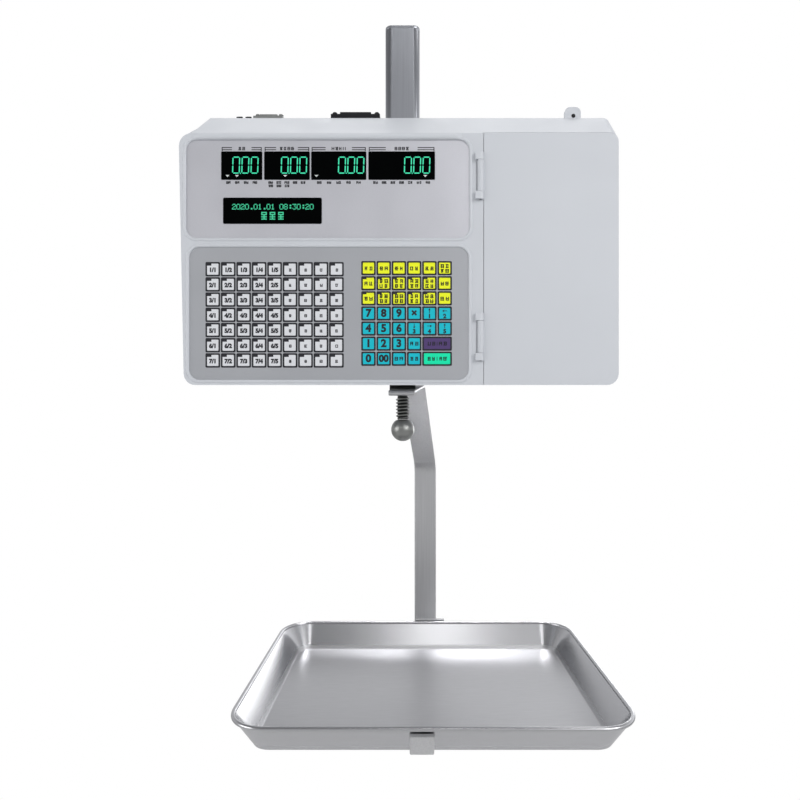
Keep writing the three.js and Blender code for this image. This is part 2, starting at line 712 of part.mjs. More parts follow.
function makeLabelRoll() {
  const profile = [
    [ROLL.core, ROLL.front],
    [ROLL.radius, ROLL.front],
    [ROLL.radius, ROLL.back],
    [ROLL.core, ROLL.back],
    [ROLL.core, ROLL.front],
  ];
  add("label_roll", turnedY(profile, ROLL.x, ROLL.z, 28), "paper");
  const sleeve = [
    [2.2, PRINTER_FRONT],
    [GUIDE.radius, PRINTER_FRONT],
    [GUIDE.radius, 10],
    [2.2, 10],
    [2.2, PRINTER_FRONT],
  ];
  add("guide_roller", turnedY(sleeve, GUIDE.x, GUIDE.z), "nylon");
}

function makePlaten() {
  const { x, z, radius, shaft } = PLATEN;
  add("platen_shaft", rodY(x, z, shaft, PRINTER_FRONT - 3, PULLEY.back + 2), "steel");
  const sleeve = [
    [shaft + 0.2, PRINTER_FRONT],
    [radius, PRINTER_FRONT],
    [radius, 9],
    [shaft + 0.2, 9],
    [shaft + 0.2, PRINTER_FRONT],
  ];
  add("platen_roller", turnedY(sleeve, x, z, FINE), "rubber");
  const gear = prismY(gearShape(GEAR.platenTeeth, GEAR.module, shaft + 0.2), GEAR.front, GEAR.back, 6);
  // Turned so that a gap, not a tooth, faces the motor pinion's tooth.
  const towardsMotor = (3 * Math.PI) / 4;
  gear.rotateY(-towardsMotor - Math.PI / GEAR.platenTeeth).translate(x, 0, z);
  add("platen_gear", gear, "nylon");
  const pulley = [
    [shaft + 0.2, PULLEY.front],
    [PULLEY.drive, PULLEY.front],
    [PULLEY.drive, PULLEY.back],
    [shaft + 0.2, PULLEY.back],
    [shaft + 0.2, PULLEY.front],
  ];
  add("drive_pulley", turnedY(pulley, x, z), "nylon");
}

function makeMotor() {
  const x = PLATEN.x - MOTOR.offset;
  const z = PLATEN.z + MOTOR.offset;
  const rear = PRINTER_PLATE.front + PRINTER_PLATE.sheet;
  const bore = rodY(x, z, 3.2, rear - 1, rear + 12);
  add("feed_motor", cut(rodY(x, z, MOTOR.radius, rear, MOTOR.back, 16), bore), "darkSteel");
  const gear = prismY(gearShape(GEAR.motorTeeth, GEAR.module, 2.2), GEAR.front, GEAR.back, 6);
  gear.rotateY(Math.PI / 4).translate(x, 0, z);
  add("motor_pinion", gear, "nylon");
  add("motor_shaft", rodY(x, z, 2, GEAR.front - 1, rear + 11, 8), "steel");
}

function makePrintHead() {
  const { x, z, radius } = HEAD_PIVOT;
  const back = 9;
  const top = PLATEN.z + PLATEN.radius + 8.4;
  const face = top - 5;
  const arm = block(x, 190, PRINTER_FRONT + 1, back, face, top);
  const boss = rodY(x, z, radius + 3, PRINTER_FRONT + 1, back);
  const web = block(x - 3, x + 4, PRINTER_FRONT + 1, back, face, z);
  const bore = rodY(x, z, radius + 0.3, PRINTER_FRONT, back + 1);
  add("head_bracket", cut(join(arm, boss, web), bore), "aluminium");
  add("thermal_head", block(170, 189, PRINTER_FRONT + 2, back - 1, face - 2.8, face), "darkSteel");
}

function makeRewind() {
  const { x, z, hub, flange } = REWIND;
  const shaft = PLATEN.shaft;
  const profile = [
    [0, PRINTER_FRONT + 1],
    [hub - 1, PRINTER_FRONT + 1],
    [hub, PRINTER_FRONT + 3],
    [hub, 12],
    [flange, 12],
    [flange, 14],
    [shaft, 14],
    [shaft, PULLEY.back + 2],
    [0, PULLEY.back + 2],
  ];
  add("rewind_spool", turnedY(profile, x, z, FINE), "nylon");
  const pulley = [
    [shaft + 0.2, PULLEY.front],
    [PULLEY.driven, PULLEY.front],
    [PULLEY.driven, PULLEY.back],
    [shaft + 0.2, PULLEY.back],
    [shaft + 0.2, PULLEY.front],
  ];
  add("rewind_pulley", turnedY(pulley, x, z), "nylon");
}

// An open belt's outline around two pulleys: an arc at each end and the two common tangents.
function beltShape(offset) {
  const dx = REWIND.x - PLATEN.x;
  const dz = REWIND.z - PLATEN.z;
  const along = Math.atan2(dz, dx);
  const lean = Math.asin((PULLEY.driven - PULLEY.drive) / Math.hypot(dx, dz));
  const upper = along + Math.PI / 2 + lean;
  const lower = along - Math.PI / 2 - lean;
  const shape = new THREE.Shape();
  shape.absarc(PLATEN.x, PLATEN.z, PULLEY.drive + offset, upper, lower);
  shape.absarc(REWIND.x, REWIND.z, PULLEY.driven + offset, lower, upper);
  return shape;
}

function makeBelt() {
  const belt = beltShape(1.4);
  belt.holes.push(beltShape(0.35));
  add("rewind_belt", prismY(belt, PULLEY.front + 1, PULLEY.back - 1, 8), "rubber");
}

// ---------- printer door ----------

function makeDoor() {
  const face = block(DOOR.left, 300, -100, HEAD.front + DOOR.sheet, -400, -128.4);
  const sheet = common(headSolid(0.02, 0), face);
  const knuckles = HINGE_ZONES.map(([top, bottom]) => {
    const barrel = rodZ(HINGE.x, HINGE.y, HINGE.knuckle, bottom, top);
    const leaf = block(HINGE.x, DOOR.left + 1, HEAD.front + 0.02, HEAD.front + 2.6, bottom, top);
    return join(barrel, leaf);
  });
  const snap = block(BAY.right - 2.6, BAY.right - 1, HEAD.front + 2, -48, -262, -242);
  add("printer_door", cut(join(sheet, ...knuckles, snap), ...hingeBores()), "housing");
  const names = ["hinge_pin_upper", "hinge_pin_lower"];
  HINGE_ZONES.forEach(([top, bottom], i) => {
    const reach = GAP + HINGE.lugHeight;
    add(names[i], rodZ(HINGE.x, HINGE.y, HINGE.pin, bottom - reach, top + reach), "steel");
  });
}

// ---------- pan strap and pan ----------

// The strap's centre line in Y and Z, with each bend as an arc.
function strapPath() {
  const half = STRAP_SHEET / 2;
  const rise = Math.tan((TAB.slope * Math.PI) / 180);
  const carrier = CARRIER_TOP - half;
  const corners = [
    [TAB.tip + half, TAB.tipTop - half + half * rise, 0],
    [TAB.end, tabTop(TAB.end) - half, 9],
    [CRANK.y, CRANK.z, 30],
    [CRANK.y, carrier, 8],
    [CLIP.y, carrier, 4],
    [CLIP.tipY, carrier + CLIP.rise, 0],
  ].map(([y, z, radius]) => ({ at: new THREE.Vector2(y, z), radius }));
  const path = [corners[0].at.clone()];
  for (let i = 1; i + 1 < corners.length; i++) {
    const { at, radius } = corners[i];
    const back = corners[i - 1].at.clone().sub(at).normalize();
    const ahead = corners[i + 1].at.clone().sub(at).normalize();
    const reach = radius / Math.tan(back.angleTo(ahead) / 2);
    const start = at.clone().addScaledVector(back, reach);
    const end = at.clone().addScaledVector(ahead, reach);
    for (let step = 0; step <= 4; step++) {
      const t = step / 4;
      const a = start.clone().lerp(at, t);
      const b = at.clone().lerp(end, t);
      path.push(a.lerp(b, t));
    }
  }
  path.push(corners.at(-1).at.clone());
  return path;
}

// Runs from value.tip to value.crank down the slanted stretch, and on to value.clip under the pan.
function alongStrap(value, { x: y, y: z }) {
  if (z > CRANK.z - 20) {
    const t = THREE.MathUtils.clamp((y - TAB.tip) / (CRANK.y - TAB.tip), 0, 1);
    return THREE.MathUtils.lerp(value.tip, value.crank, t);
  }
  const t = THREE.MathUtils.clamp((CRANK.y - y) / (CRANK.y - CLIP.y), 0, 1);
  return THREE.MathUtils.lerp(value.crank, value.clip, t);
}

function makeStrap() {
  const path = strapPath();
  const half = STRAP_SHEET / 2;
  const rings = path.map((point, i) => {
    const before = path[Math.max(i - 1, 0)];
    const after = path[Math.min(i + 1, path.length - 1)];
    const ahead = after.clone().sub(before).normalize();
    const normal = new THREE.Vector2(-ahead.y, ahead.x);
    const x = alongStrap(STRAP_X, point);
    const halfWidth = alongStrap(STRAP_WIDTH, point) / 2;
    return [
      [-1, -1],
      [1, -1],
      [1, 1],
      [-1, 1],
    ].map(([side, face]) => {
      const edge = point.clone().addScaledVector(normal, face * half);
      return new THREE.Vector3(x + side * halfWidth, edge.x, edge.y);
    });
  });
  const reach = STRAP_WIDTH.tip / 2;
  const hem = prismX(hemShape(), STRAP_X.tip - reach, STRAP_X.tip + reach);
  const bore = rodZ(0, 0, STUD.radius + 0.6, -385, -360, FINE);
  add("pan_strap", cut(join(loftStrip(rings), hem), bore), "steel");
  const face = CRANK.y - half;
  add("pan_stop", block(STOP.left, STOP.right, face - STOP.sheet, face, STOP.bottom, STOP.top), "steel");
}

function hemShape() {
  const shape = new THREE.Shape();
  shape.absarc(TAB.tip + 1, TAB.tipTop - HEM_RADIUS, HEM_RADIUS, 0, Math.PI * 2);
  return shape;
}

// Four-cornered rings joined into a strip, with a pair of triangles closing each end.
function loftStrip(rings) {
  const vertices = rings.flat().flatMap((point) => [point.x, point.y, point.z]);
  const index = [];
  for (let ring = 0; ring + 1 < rings.length; ring++) {
    for (let i = 0; i < 4; i++) {
      const a = ring * 4 + i;
      const b = ring * 4 + ((i + 1) % 4);
      index.push(a, b, b + 4, a, b + 4, a + 4);
    }
  }
  const last = (rings.length - 1) * 4;
  index.push(2, 1, 0, 3, 2, 0, last, last + 1, last + 2, last, last + 2, last + 3);
  const geometry = new THREE.BufferGeometry();
  geometry.setAttribute("position", new THREE.Float32BufferAttribute(vertices, 3));
  geometry.setIndex(index);
  return geometry;
}

function makePan() {
  const { corner, rim, inset, depth, sheet } = PAN;
  const floor = rim - depth;
  const foot = corner - inset;
  const profile = [
    [0, floor - sheet],
    [foot - 1.5, floor - sheet],
    [foot + 1.6, floor + 1.2 - sheet],
    [corner - 2.9, rim - 3.4],
    [corner - 1.2, rim - 3.6],
    [corner, rim - 2.2],
    [corner - 0.4, rim - 0.5],
    [corner - 1.8, rim],
    [corner - 3.6, rim - 0.6],
    [corner - 4.2, rim - 2.4],
    [foot + 0.8, floor + 1.4],
    [foot - 1.8, floor],
    [0, floor],
  ];
  const tray = turnedTray(profile, PAN.halfX - corner, PAN.halfY - corner, 6);
  add("pan", tray.translate(PAN.x, PAN.y, 0), "steel");
}

makePole();
makeLoadPath();
makeHangerBlock();
makeClampScrew();
makeFrontHousing();
makeRearHousing();
makeScrews();
makeConnectors();
makeDisplayPanel();
makeKeypad();
makeDisplayModules();
makeChassis();
makeRearFittings();
makePrinterFrame();
makeLabelRoll();
makePlaten();
makeMotor();
makePrintHead();
makeRewind();
makeBelt();
makeDoor();
makeStrap();
makePan();

export default scale;
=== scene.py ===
import math
import random

import bmesh
import bpy
from mathutils import Matrix, Vector


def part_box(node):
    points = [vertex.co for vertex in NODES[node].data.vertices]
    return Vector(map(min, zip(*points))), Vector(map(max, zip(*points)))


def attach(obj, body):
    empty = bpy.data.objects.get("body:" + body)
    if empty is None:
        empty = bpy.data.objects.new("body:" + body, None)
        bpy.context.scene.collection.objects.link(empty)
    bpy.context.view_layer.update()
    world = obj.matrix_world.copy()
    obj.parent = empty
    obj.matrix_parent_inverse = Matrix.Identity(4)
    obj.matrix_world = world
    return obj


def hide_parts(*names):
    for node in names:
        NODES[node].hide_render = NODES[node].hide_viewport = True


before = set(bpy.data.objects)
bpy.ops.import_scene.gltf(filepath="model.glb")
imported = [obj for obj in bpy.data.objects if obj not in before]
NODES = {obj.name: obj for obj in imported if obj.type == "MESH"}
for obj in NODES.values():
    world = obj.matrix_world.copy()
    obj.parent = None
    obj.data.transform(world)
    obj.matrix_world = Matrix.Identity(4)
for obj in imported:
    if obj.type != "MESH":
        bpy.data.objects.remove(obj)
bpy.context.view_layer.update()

MM = 0.001
HEAD_FACE = -57.5  # Y of the head's flat front, in millimetres


# ---------- places, in millimetres, read from the CAD nodes ------

class Box:
    """A CAD node's box in millimetres."""

    def __init__(self, node):
        low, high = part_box(node)
        self.left, self.front, self.bottom = low / MM
        self.right, self.back, self.top = high / MM
        self.x = (self.left + self.right) / 2
        self.y = (self.front + self.back) / 2
        self.z = (self.bottom + self.top) / 2
        self.width = self.right - self.left
        self.depth = self.back - self.front


# ---------- shader helpers ----------

class Shader:
    """A node material around one Principled shader."""

    def __init__(self, name, color, roughness, metallic=0.0):
        self.material = bpy.data.materials.new(name)
        self.material.use_nodes = True
        self.tree = self.material.node_tree
        self.main = self.tree.nodes["Principled BSDF"]
        self.main.inputs["Base Color"].default_value = (*color, 1)
        self.main.inputs["Roughness"].default_value = roughness
        self.main.inputs["Metallic"].default_value = metallic
        self.color = color
        self.where = self.new("ShaderNodeTexCoord").outputs["Object"]
        self.height = None

    def new(self, kind, **settings):
        made = self.tree.nodes.new(kind)
        for key, value in settings.items():
            setattr(made, key, value)
        return made

    def link(self, source, target):
        self.tree.links.new(source, target)

    def noise(self, scale, detail=3.0, stretch=(1, 1, 1)):
        """Noise in object space; scale is in features per metre before the stretch."""
        mapping = self.new("ShaderNodeMapping")
        mapping.inputs["Scale"].default_value = stretch
        self.link(self.where, mapping.inputs["Vector"])
        texture = self.new("ShaderNodeTexNoise")
        texture.inputs["Scale"].default_value = scale
        texture.inputs["Detail"].default_value = detail
        self.link(mapping.outputs["Vector"], texture.inputs["Vector"])
        return texture.outputs["Fac"]

    def spread(self, value, low, high, start=0.3, end=0.7, clamp=True):
        """The value from start to end, spread over low to high."""
        ramp = self.new("ShaderNodeMapRange", clamp=clamp)
        self.link(value, ramp.inputs["Value"])
        ramp.inputs["From Min"].default_value = start
        ramp.inputs["From Max"].default_value = end
        ramp.inputs["To Min"].default_value = low
        ramp.inputs["To Max"].default_value = high
        return ramp.outputs["Result"]

    def tint(self, value, darker):
        """Base colour goes from darker times itself to itself as value goes from 0 to 1."""
        mix = self.new("ShaderNodeMix", data_type="RGBA")
        mix.inputs["A"].default_value = (*[c * darker for c in self.color], 1)
        mix.inputs["B"].default_value = (*self.color, 1)
        self.link(value, mix.inputs["Factor"])
        self.link(mix.outputs["Result"], self.main.inputs["Base Color"])
        return self

    def rough(self, value, low, high):
        self.link(self.spread(value, low, high, clamp=False), self.main.inputs["Roughness"])
        return self

    def bump(self, value, distance, strength=0.5):
        """Adds relief of that depth in millimetres."""
        made = self.new("ShaderNodeBump")
        made.inputs["Distance"].default_value = distance * MM
        made.inputs["Strength"].default_value = strength
        self.link(value, made.inputs["Height"])
        if self.height is not None:
            self.link(self.height, made.inputs["Normal"])
        self.height = made.outputs["Normal"]
        self.link(self.height, self.main.inputs["Normal"])
        return self


def moulded(name, color, roughness, grain=0.05, gloss=0.5):
    """Moulded plastic: fine spark grain, slight mottling and a few dull patches."""
    s = Shader(name, color, roughness)
    s.main.inputs["Specular IOR Level"].default_value = gloss
    s.tint(s.spread(s.noise(9, 2), 0, 1), 0.965)
    s.rough(s.noise(40, 4), roughness - 0.05, roughness + 0.07)
    s.bump(s.noise(1400, 2), grain, 0.35)
    return s.material


def film(name, color, roughness=0.38, metallic=0.4):
    """Printed polyester film: satin, with a faint silver speckle."""
    s = Shader(name, color, roughness)
    s.tint(s.spread(s.noise(2600, 1), 0, 1), 0.95)
    s.rough(s.noise(30, 3), roughness - 0.04, roughness + 0.06)
    s.bump(s.noise(2200, 2), 0.012, 0.25)
    s.main.inputs["Metallic"].default_value = metallic
    return s.material


def brushed(name, color, roughness, stretch, grain=0.012, streak=900):
    """Brushed metal: long thin streaks in colour and relief, and a few soft smudges in its shine."""
    s = Shader(name, color, roughness, 1.0)
    s.main.inputs["Anisotropic"].default_value = 0.35
    streaks = s.noise(streak, 3, stretch)
    s.tint(s.spread(streaks, 0, 1, 0.25, 0.75), 0.86)
    s.rough(s.noise(9, 1), roughness - 0.02, roughness + 0.03)
    s.bump(streaks, grain, 0.4)
    return s.material


def scuffed(name, color):
    """Pressed steel: the walls keep their shine and the floor, where the goods lie, is duller."""
    s = Shader(name, color, 0.3, 1.0)
    s.tint(s.spread(s.noise(1500, 3, (0.04, 1, 1)), 0, 1, 0.25, 0.75), 0.9)
    parts = s.new("ShaderNodeSeparateXYZ")
    s.link(s.where, parts.inputs["Vector"])
    floor_top = Box("pan").bottom + 1.6
    foot_top = floor_top + 4.7
    on_floor, on_walls = 0.39, 0.24
    dullness = s.spread(parts.outputs["Z"], on_floor, on_walls, floor_top * MM, foot_top * MM)
    s.link(dullness, s.main.inputs["Roughness"])
    return s.material


def polished(name, color, roughness):
    """Turned dark steel: fine rings left by the tool, and an oily unevenness."""
    s = Shader(name, color, roughness, 1.0)
    s.tint(s.spread(s.noise(60, 2), 0, 1), 0.88)
    s.rough(s.noise(120, 2), roughness - 0.03, roughness + 0.05)
    s.bump(s.noise(1500, 1, (0.3, 0.3, 2.5)), 0.004, 0.2)
    return s.material


def thread_with_painted_shade(name, color, roughness, root, crest):
    """Dark steel thread on the Z axis: painted shade darkens it from its crest, in millimetres, to its root.
    """
    s = Shader(name, color, roughness, 1.0)
    across = s.new("ShaderNodeVectorMath", operation="MULTIPLY")
    across.inputs[1].default_value = (1, 1, 0)
    s.link(s.where, across.inputs[0])
    radius = s.new("ShaderNodeVectorMath", operation="LENGTH")
    s.link(across.outputs["Vector"], radius.inputs[0])
    # painted shade: the thread's colour darkens from its crest to its root, where shade falls between the
    # turns
    s.tint(s.spread(radius.outputs["Value"], 0, 1, root * MM, crest * MM), 0.12)
    s.rough(s.noise(120, 2), roughness - 0.03, roughness + 0.05)
    return s.material


def glossy(name, color):
    """Smoked window: dark, smooth, with faint dust."""
    roughness = 0.12
    s = Shader(name, color, roughness)
    s.main.inputs["Specular IOR Level"].default_value = 0.02
    s.rough(s.noise(500, 3), roughness, roughness + 0.08)
    s.tint(s.spread(s.noise(200, 3), 0, 1), 0.6)
    return s.material


def lit(name, color, strength):
    """A lit display segment, slightly uneven like real phosphor."""
    s = Shader(name, [c * 0.4 for c in color], 0.4)
    s.main.inputs["Emission Color"].default_value = (*color, 1)
    s.main.inputs["Emission Strength"].default_value = strength
    s.tint(s.spread(s.noise(900, 2), 0, 1), 0.8)
    return s.material


def printed(name, color, roughness=0.45):
    """Screen-printed ink with pinholes and a slightly raised edge."""
    s = Shader(name, color, roughness)
    s.main.inputs["Specular IOR Level"].default_value = 0.3
    s.tint(s.spread(s.noise(3000, 1), 0, 1), 0.9)
    s.rough(s.noise(700, 2), roughness - 0.05, roughness + 0.05)
    s.bump(s.noise(2400, 1), 0.01, 0.3)
    return s.material


def board_material():
    """Solder mask over copper: darker green with lighter track areas."""
    s = Shader("circuit_board", (0.02, 0.13, 0.05), 0.35)
    cells = s.new("ShaderNodeTexVoronoi", feature="F1", distance="CHEBYCHEV")
    cells.inputs["Scale"].default_value = 260
    s.link(s.where, cells.inputs["Vector"])
    s.tint(s.spread(cells.outputs["Distance"], 0, 1, 0.2, 0.6), 0.55)
    s.bump(cells.outputs["Distance"], 0.05, 0.4)
    s.rough(s.noise(60), 0.3, 0.45)
    return s.material


def paper_material():
    """A wound roll of labels: fine rings on its side, soft white elsewhere."""
    s = Shader("label_paper", (0.87, 0.86, 0.82), 0.75)
    s.tint(s.spread(s.noise(3200, 1, (1, 0.05, 1)), 0, 1), 0.9)
    s.rough(s.noise(90), 0.68, 0.82)
    s.bump(s.noise(1800, 2, (1, 0.1, 1)), 0.03, 0.4)
    return s.material


# How noise is stretched along the way a metal was brushed.
ALONG_Z = (1, 1, 0.012)
ALONG_X = (0.012, 1, 1)

HOUSING = moulded("housing_plastic", (0.595, 0.615, 0.65), 0.45)
DISPLAY_FILM = film("display_film", (0.63, 0.63, 0.67), 0.4, 0.7)
KEYPAD_FILM = film("keypad_film", (0.43, 0.44, 0.465))
WINDOW = glossy("dark_window", (0.0006, 0.0009, 0.0009))
TUBE_STEEL = brushed("tube_steel", (0.38, 0.39, 0.42), 0.3, ALONG_Z)
STRAP_STEEL = brushed("strap_steel", (0.61, 0.61, 0.62), 0.4, ALONG_Z)
PLAIN_STEEL = brushed("plain_steel", (0.45, 0.46, 0.47), 0.35, ALONG_X)
PAN_STEEL = scuffed("pan_steel", (0.52, 0.52, 0.535))
DARK_STEEL = polished("dark_steel", (0.29, 0.295, 0.285), 0.36)
THREAD_STEEL = thread_with_painted_shade("thread_steel", (0.33, 0.335, 0.325), 0.34, 5.4, 6.9)
ALUMINIUM = brushed("cast_aluminium", (0.62, 0.63, 0.64), 0.4, ALONG_X, 0.02, 500)
BOARD = board_material()
BLACK = moulded("black_plastic", (0.008, 0.008, 0.01), 0.4, 0.05, 0.25)
SHELL_STEEL = brushed("connector_steel", (0.40, 0.41, 0.40), 0.3, ALONG_X)
BRASS = brushed("brass", (0.66, 0.50, 0.22), 0.3, ALONG_Z)
RUBBER = moulded("rubber", (0.02, 0.02, 0.022), 0.75, 0.1)
PAPER = paper_material()
NYLON = moulded("nylon", (0.72, 0.69, 0.60), 0.45)
INK = printed("ink", (0.02, 0.02, 0.025))
GREY_INK = printed("grey_ink", (0.10, 0.10, 0.12))
PALE_INK = printed("pale_ink", (0.70, 0.74, 0.72))
WHITE_KEY = printed("white_key", (0.74, 0.75, 0.78), 0.35)
YELLOW_KEY = printed("yellow_key", (0.90, 0.96, 0.02), 0.35)
BLUE_KEY = printed("blue_key", (0.005, 0.52, 0.63), 0.35)
PURPLE_KEY = printed("purple_key", (0.085, 0.05, 0.17), 0.35)
GREEN_KEY = printed("green_key", (0.002, 0.84, 0.44), 0.35)
SEGMENT = lit("lit_segment", (0.04, 0.66, 0.36), 0.9)
DIM_SEGMENT = lit("dim_segment", (0.04, 0.50, 0.26), 0.9)


# ---------- mesh helpers ----------

NEAR_AXIS = 0.01  # the least radius of a turned shape, in millimetres
PRINT_THICK = 0.04
SMOOTH_ANGLE = math.radians(32)
BEVEL_ANGLE = math.radians(35)
FLAT_ANGLE = math.radians(0.8)


class Mesh:
    """Vertices in millimetres and faces, gathered from several shapes into one piece."""

    def __init__(self):
        self.vertices = []
        self.faces = []

    def add(self, vertices, faces):
        base = len(self.vertices)
        self.vertices += [Vector(v) for v in vertices]
        self.faces += [[base + i for i in face] for face in faces]

    def rings(self, rings, closed=False):
        """Joins rings of the same count, and caps the two ends or, if closed, joins the last to the first."""
        count = len(rings[0])
        faces = []
        for r in range(len(rings) if closed else len(rings) - 1):
            low = r * count
            high = (r + 1) % len(rings) * count
            for i in range(count):
                j = (i + 1) % count
                faces.append([low + i, low + j, high + j, high + i])
        if not closed:
            faces.append(list(range(count))[::-1])
            faces.append([(len(rings) - 1) * count + i for i in range(count)])
        self.add([v for ring in rings for v in ring], faces)

    def piece(self, name, material, body, slot, replaces=()):
        mesh = bpy.data.meshes.new(name)
        mesh.from_pydata([v * MM for v in self.vertices], [], self.faces)
        edit = bmesh.new()
        edit.from_mesh(mesh)
        bmesh.ops.remove_doubles(edit, verts=edit.verts, dist=1e-7)
        bmesh.ops.recalc_face_normals(edit, faces=edit.faces)
        edit.to_mesh(mesh)
        edit.free()
        mesh.materials.append(material)
        mesh.shade_smooth()
        mesh.set_sharp_from_angle(angle=SMOOTH_ANGLE)
        made = bpy.data.objects.new(name, mesh)
        bpy.context.scene.collection.objects.link(made)
        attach(made, body)
        if replaces:
            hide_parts(*replaces)
        return made


def arc(centre, radius, start, end, steps):
    """Points round a centre from one angle to another, in degrees."""
    points = []
    for i in range(steps + 1):
        turn = math.radians(start + (end - start) * i / steps)
        points.append((centre[0] + radius * math.cos(turn), centre[1] + radius * math.sin(turn)))
    return points


def circle(centre, radius, sides):
    """The corners of a regular polygon round a centre."""
    return arc(centre, radius, 0, 360, sides)[:-1]


def rounded_rect(left, right, bottom, top, radius, steps):
    """Corner points of a rounded rectangle, anticlockwise from its lower right."""
    corners = [
        (right - radius, bottom + radius, -90),
        (right - radius, top - radius, 0),
        (left + radius, top - radius, 90),
        (left + radius, bottom + radius, 180),
    ]
    points = []
    for x, z, start in corners:
        points += arc((x, z), radius, start, start + 90, steps)
    return points


def add_plate(mesh, left, right, bottom, top, radius, back, front, edge=0.0):
    """A plate facing -Y with rounded corners and, where edge is given, a softened front edge."""
    steps, least_radius = 3, 0.02
    outer = rounded_rect(left, right, bottom, top, radius, steps)
    rings = [[(x, back, z) for x, z in outer], [(x, front + edge, z) for x, z in outer]]
    if edge:
        inner_radius = max(radius - edge, least_radius)
        inner = rounded_rect(left + edge, right - edge, bottom + edge, top - edge, inner_radius, steps)
        rings.append([(x, front, z) for x, z in inner])
    mesh.rings(rings)


def add_prism(mesh, outline, front, thick):
    """A flat shape facing -Y: outline is (x, z), and it stands thick above front."""
    mesh.rings([[(x, front, z) for x, z in outline], [(x, front - thick, z) for x, z in outline]])


def add_bar(mesh, left, right, bottom, top, front, thick=PRINT_THICK):
    add_prism(mesh, [(left, bottom), (right, bottom), (right, top), (left, top)], front, thick)


def add_turned(mesh, profile, centre, sides, axis="Z"):
    """A turned solid on the Z or Y axis: profile is (radius, distance along the axis)."""
    rings = []
    for radius, along in profile:
        ring = circle(centre, radius, sides)
        rings.append([(u, v, along) if axis == "Z" else (u, along, v) for u, v in ring])
    mesh.rings(rings)


def refine(name, material, edge, segments):
    """Gives a CAD node its material and soft, evenly shaded edges."""
    node = NODES[name]
    node.data.materials.clear()
    node.data.materials.append(material)
    for face in node.data.polygons:
        face.use_smooth = True
        face.material_index = 0
    if node.data.has_custom_normals:
        attribute = node.data.attributes.get("custom_normal")
        if attribute:
            node.data.attributes.remove(attribute)
    weld = node.modifiers.new("weld", "WELD")
    weld.merge_threshold = 1e-5
    flatten = node.modifiers.new("flatten", "DECIMATE")
    flatten.decimate_type = "DISSOLVE"
    flatten.angle_limit = FLAT_ANGLE
    if edge:
        bevel = node.modifiers.new("bevel", "BEVEL")
        bevel.limit_method = "ANGLE"
        bevel.angle_limit = BEVEL_ANGLE
        bevel.width = edge * MM
        bevel.segments = segments
        bevel.use_clamp_overlap = True
    node.modifiers.new("shade", "WEIGHTED_NORMAL").keep_sharp = True


# ---------- CAD nodes that keep their shape ----------

def dress_cad_nodes():
    """Each node's material, bevel width in millimetres and bevel segments; the rest are plain steel."""
    looks = {
        "front_housing": (HOUSING, 0.9, 3),
        "rear_housing": (HOUSING, 0.9, 3),
        "printer_door": (HOUSING, 0.8, 3),
        "pole_tube": (TUBE_STEEL, 0, 1),
        "pole_top_plate": (TUBE_STEEL, 0.5, 2),
        "display_panel": (DISPLAY_FILM, 0.15, 1),
        "keypad_overlay": (KEYPAD_FILM, 0.15, 1),
        "hanger_block": (DARK_STEEL, 0.6, 2),
        "pan_stop": (STRAP_STEEL, 0.6, 2),
        "load_cell": (ALUMINIUM, 0.5, 2),
        "power_supply": (ALUMINIUM, 0.6, 2),
        "head_bracket": (ALUMINIUM, 0.3, 2),
        "parallel_port": (BLACK, 0.4, 2),
        "serial_port": (SHELL_STEEL, 0.4, 2),
        "network_jack": (BLACK, 0.3, 2),
        "drawer_jack": (BLACK, 0.3, 2),
        "power_inlet": (BLACK, 0.3, 2),
        "switch_body": (BLACK, 0.3, 2),
        "power_rocker": (BLACK, 0.4, 2),
        "feed_motor": (DARK_STEEL, 0.5, 2),
        "thermal_head": (GREY_INK, 0.2, 2),
        "platen_roller": (RUBBER, 0.3, 2),
        "rewind_belt": (RUBBER, 0.1, 1),
        "label_roll": (PAPER, 0.3, 2),
    }
    for name in ("tare_window", "weight_window", "unit_price_window", "total_window", "clock_window"):
        looks[name] = (WINDOW, 0.25, 2)
    for name in ("digit_tube", "clock_tube"):
        looks[name] = (WINDOW, 0.4, 2)
    for name in ("main_board", "display_board", "keypad_circuit"):
        looks[name] = (BOARD, 0.1, 1)
    for name in (
        "label_spindle", "guide_roller", "platen_gear", "drive_pulley", "motor_pinion", "rewind_spool",
        "rewind_pulley",
    ):
        looks[name] = (NYLON, 0.2, 2)
    for name in NODES:
        material, edge, segments = looks.get(name, (PLAIN_STEEL, 0.25, 2))
        refine(name, material, edge, segments)


# ---------- pan, strap and clamp screw ----------

def tray_ring(cad, corner, radius, z):
    """The tray's outline at one height; its corners are a little fuller than a circle's arc."""
    per_corner, fullness = 20, 2.2
    reach = radius * (1 - 0.5 ** 0.5) / (1 - 0.5 ** (1 / fullness))
    half_x = cad.width / 2 - corner + radius
    half_y = cad.depth / 2 - corner + radius
    ring = []
    for quarter, (sx, sy) in enumerate(((1, 1), (-1, 1), (-1, -1), (1, -1))):
        for i in range(per_corner):
            angle = math.radians(90) * (quarter + i / (per_corner - 1))
            u = abs(math.cos(angle)) ** (2 / fullness)
            v = abs(math.sin(angle)) ** (2 / fullness)
            ring.append((cad.x + sx * (half_x - reach * (1 - u)), cad.y + sy * (half_y - reach * (1 - v)), z))
    return ring


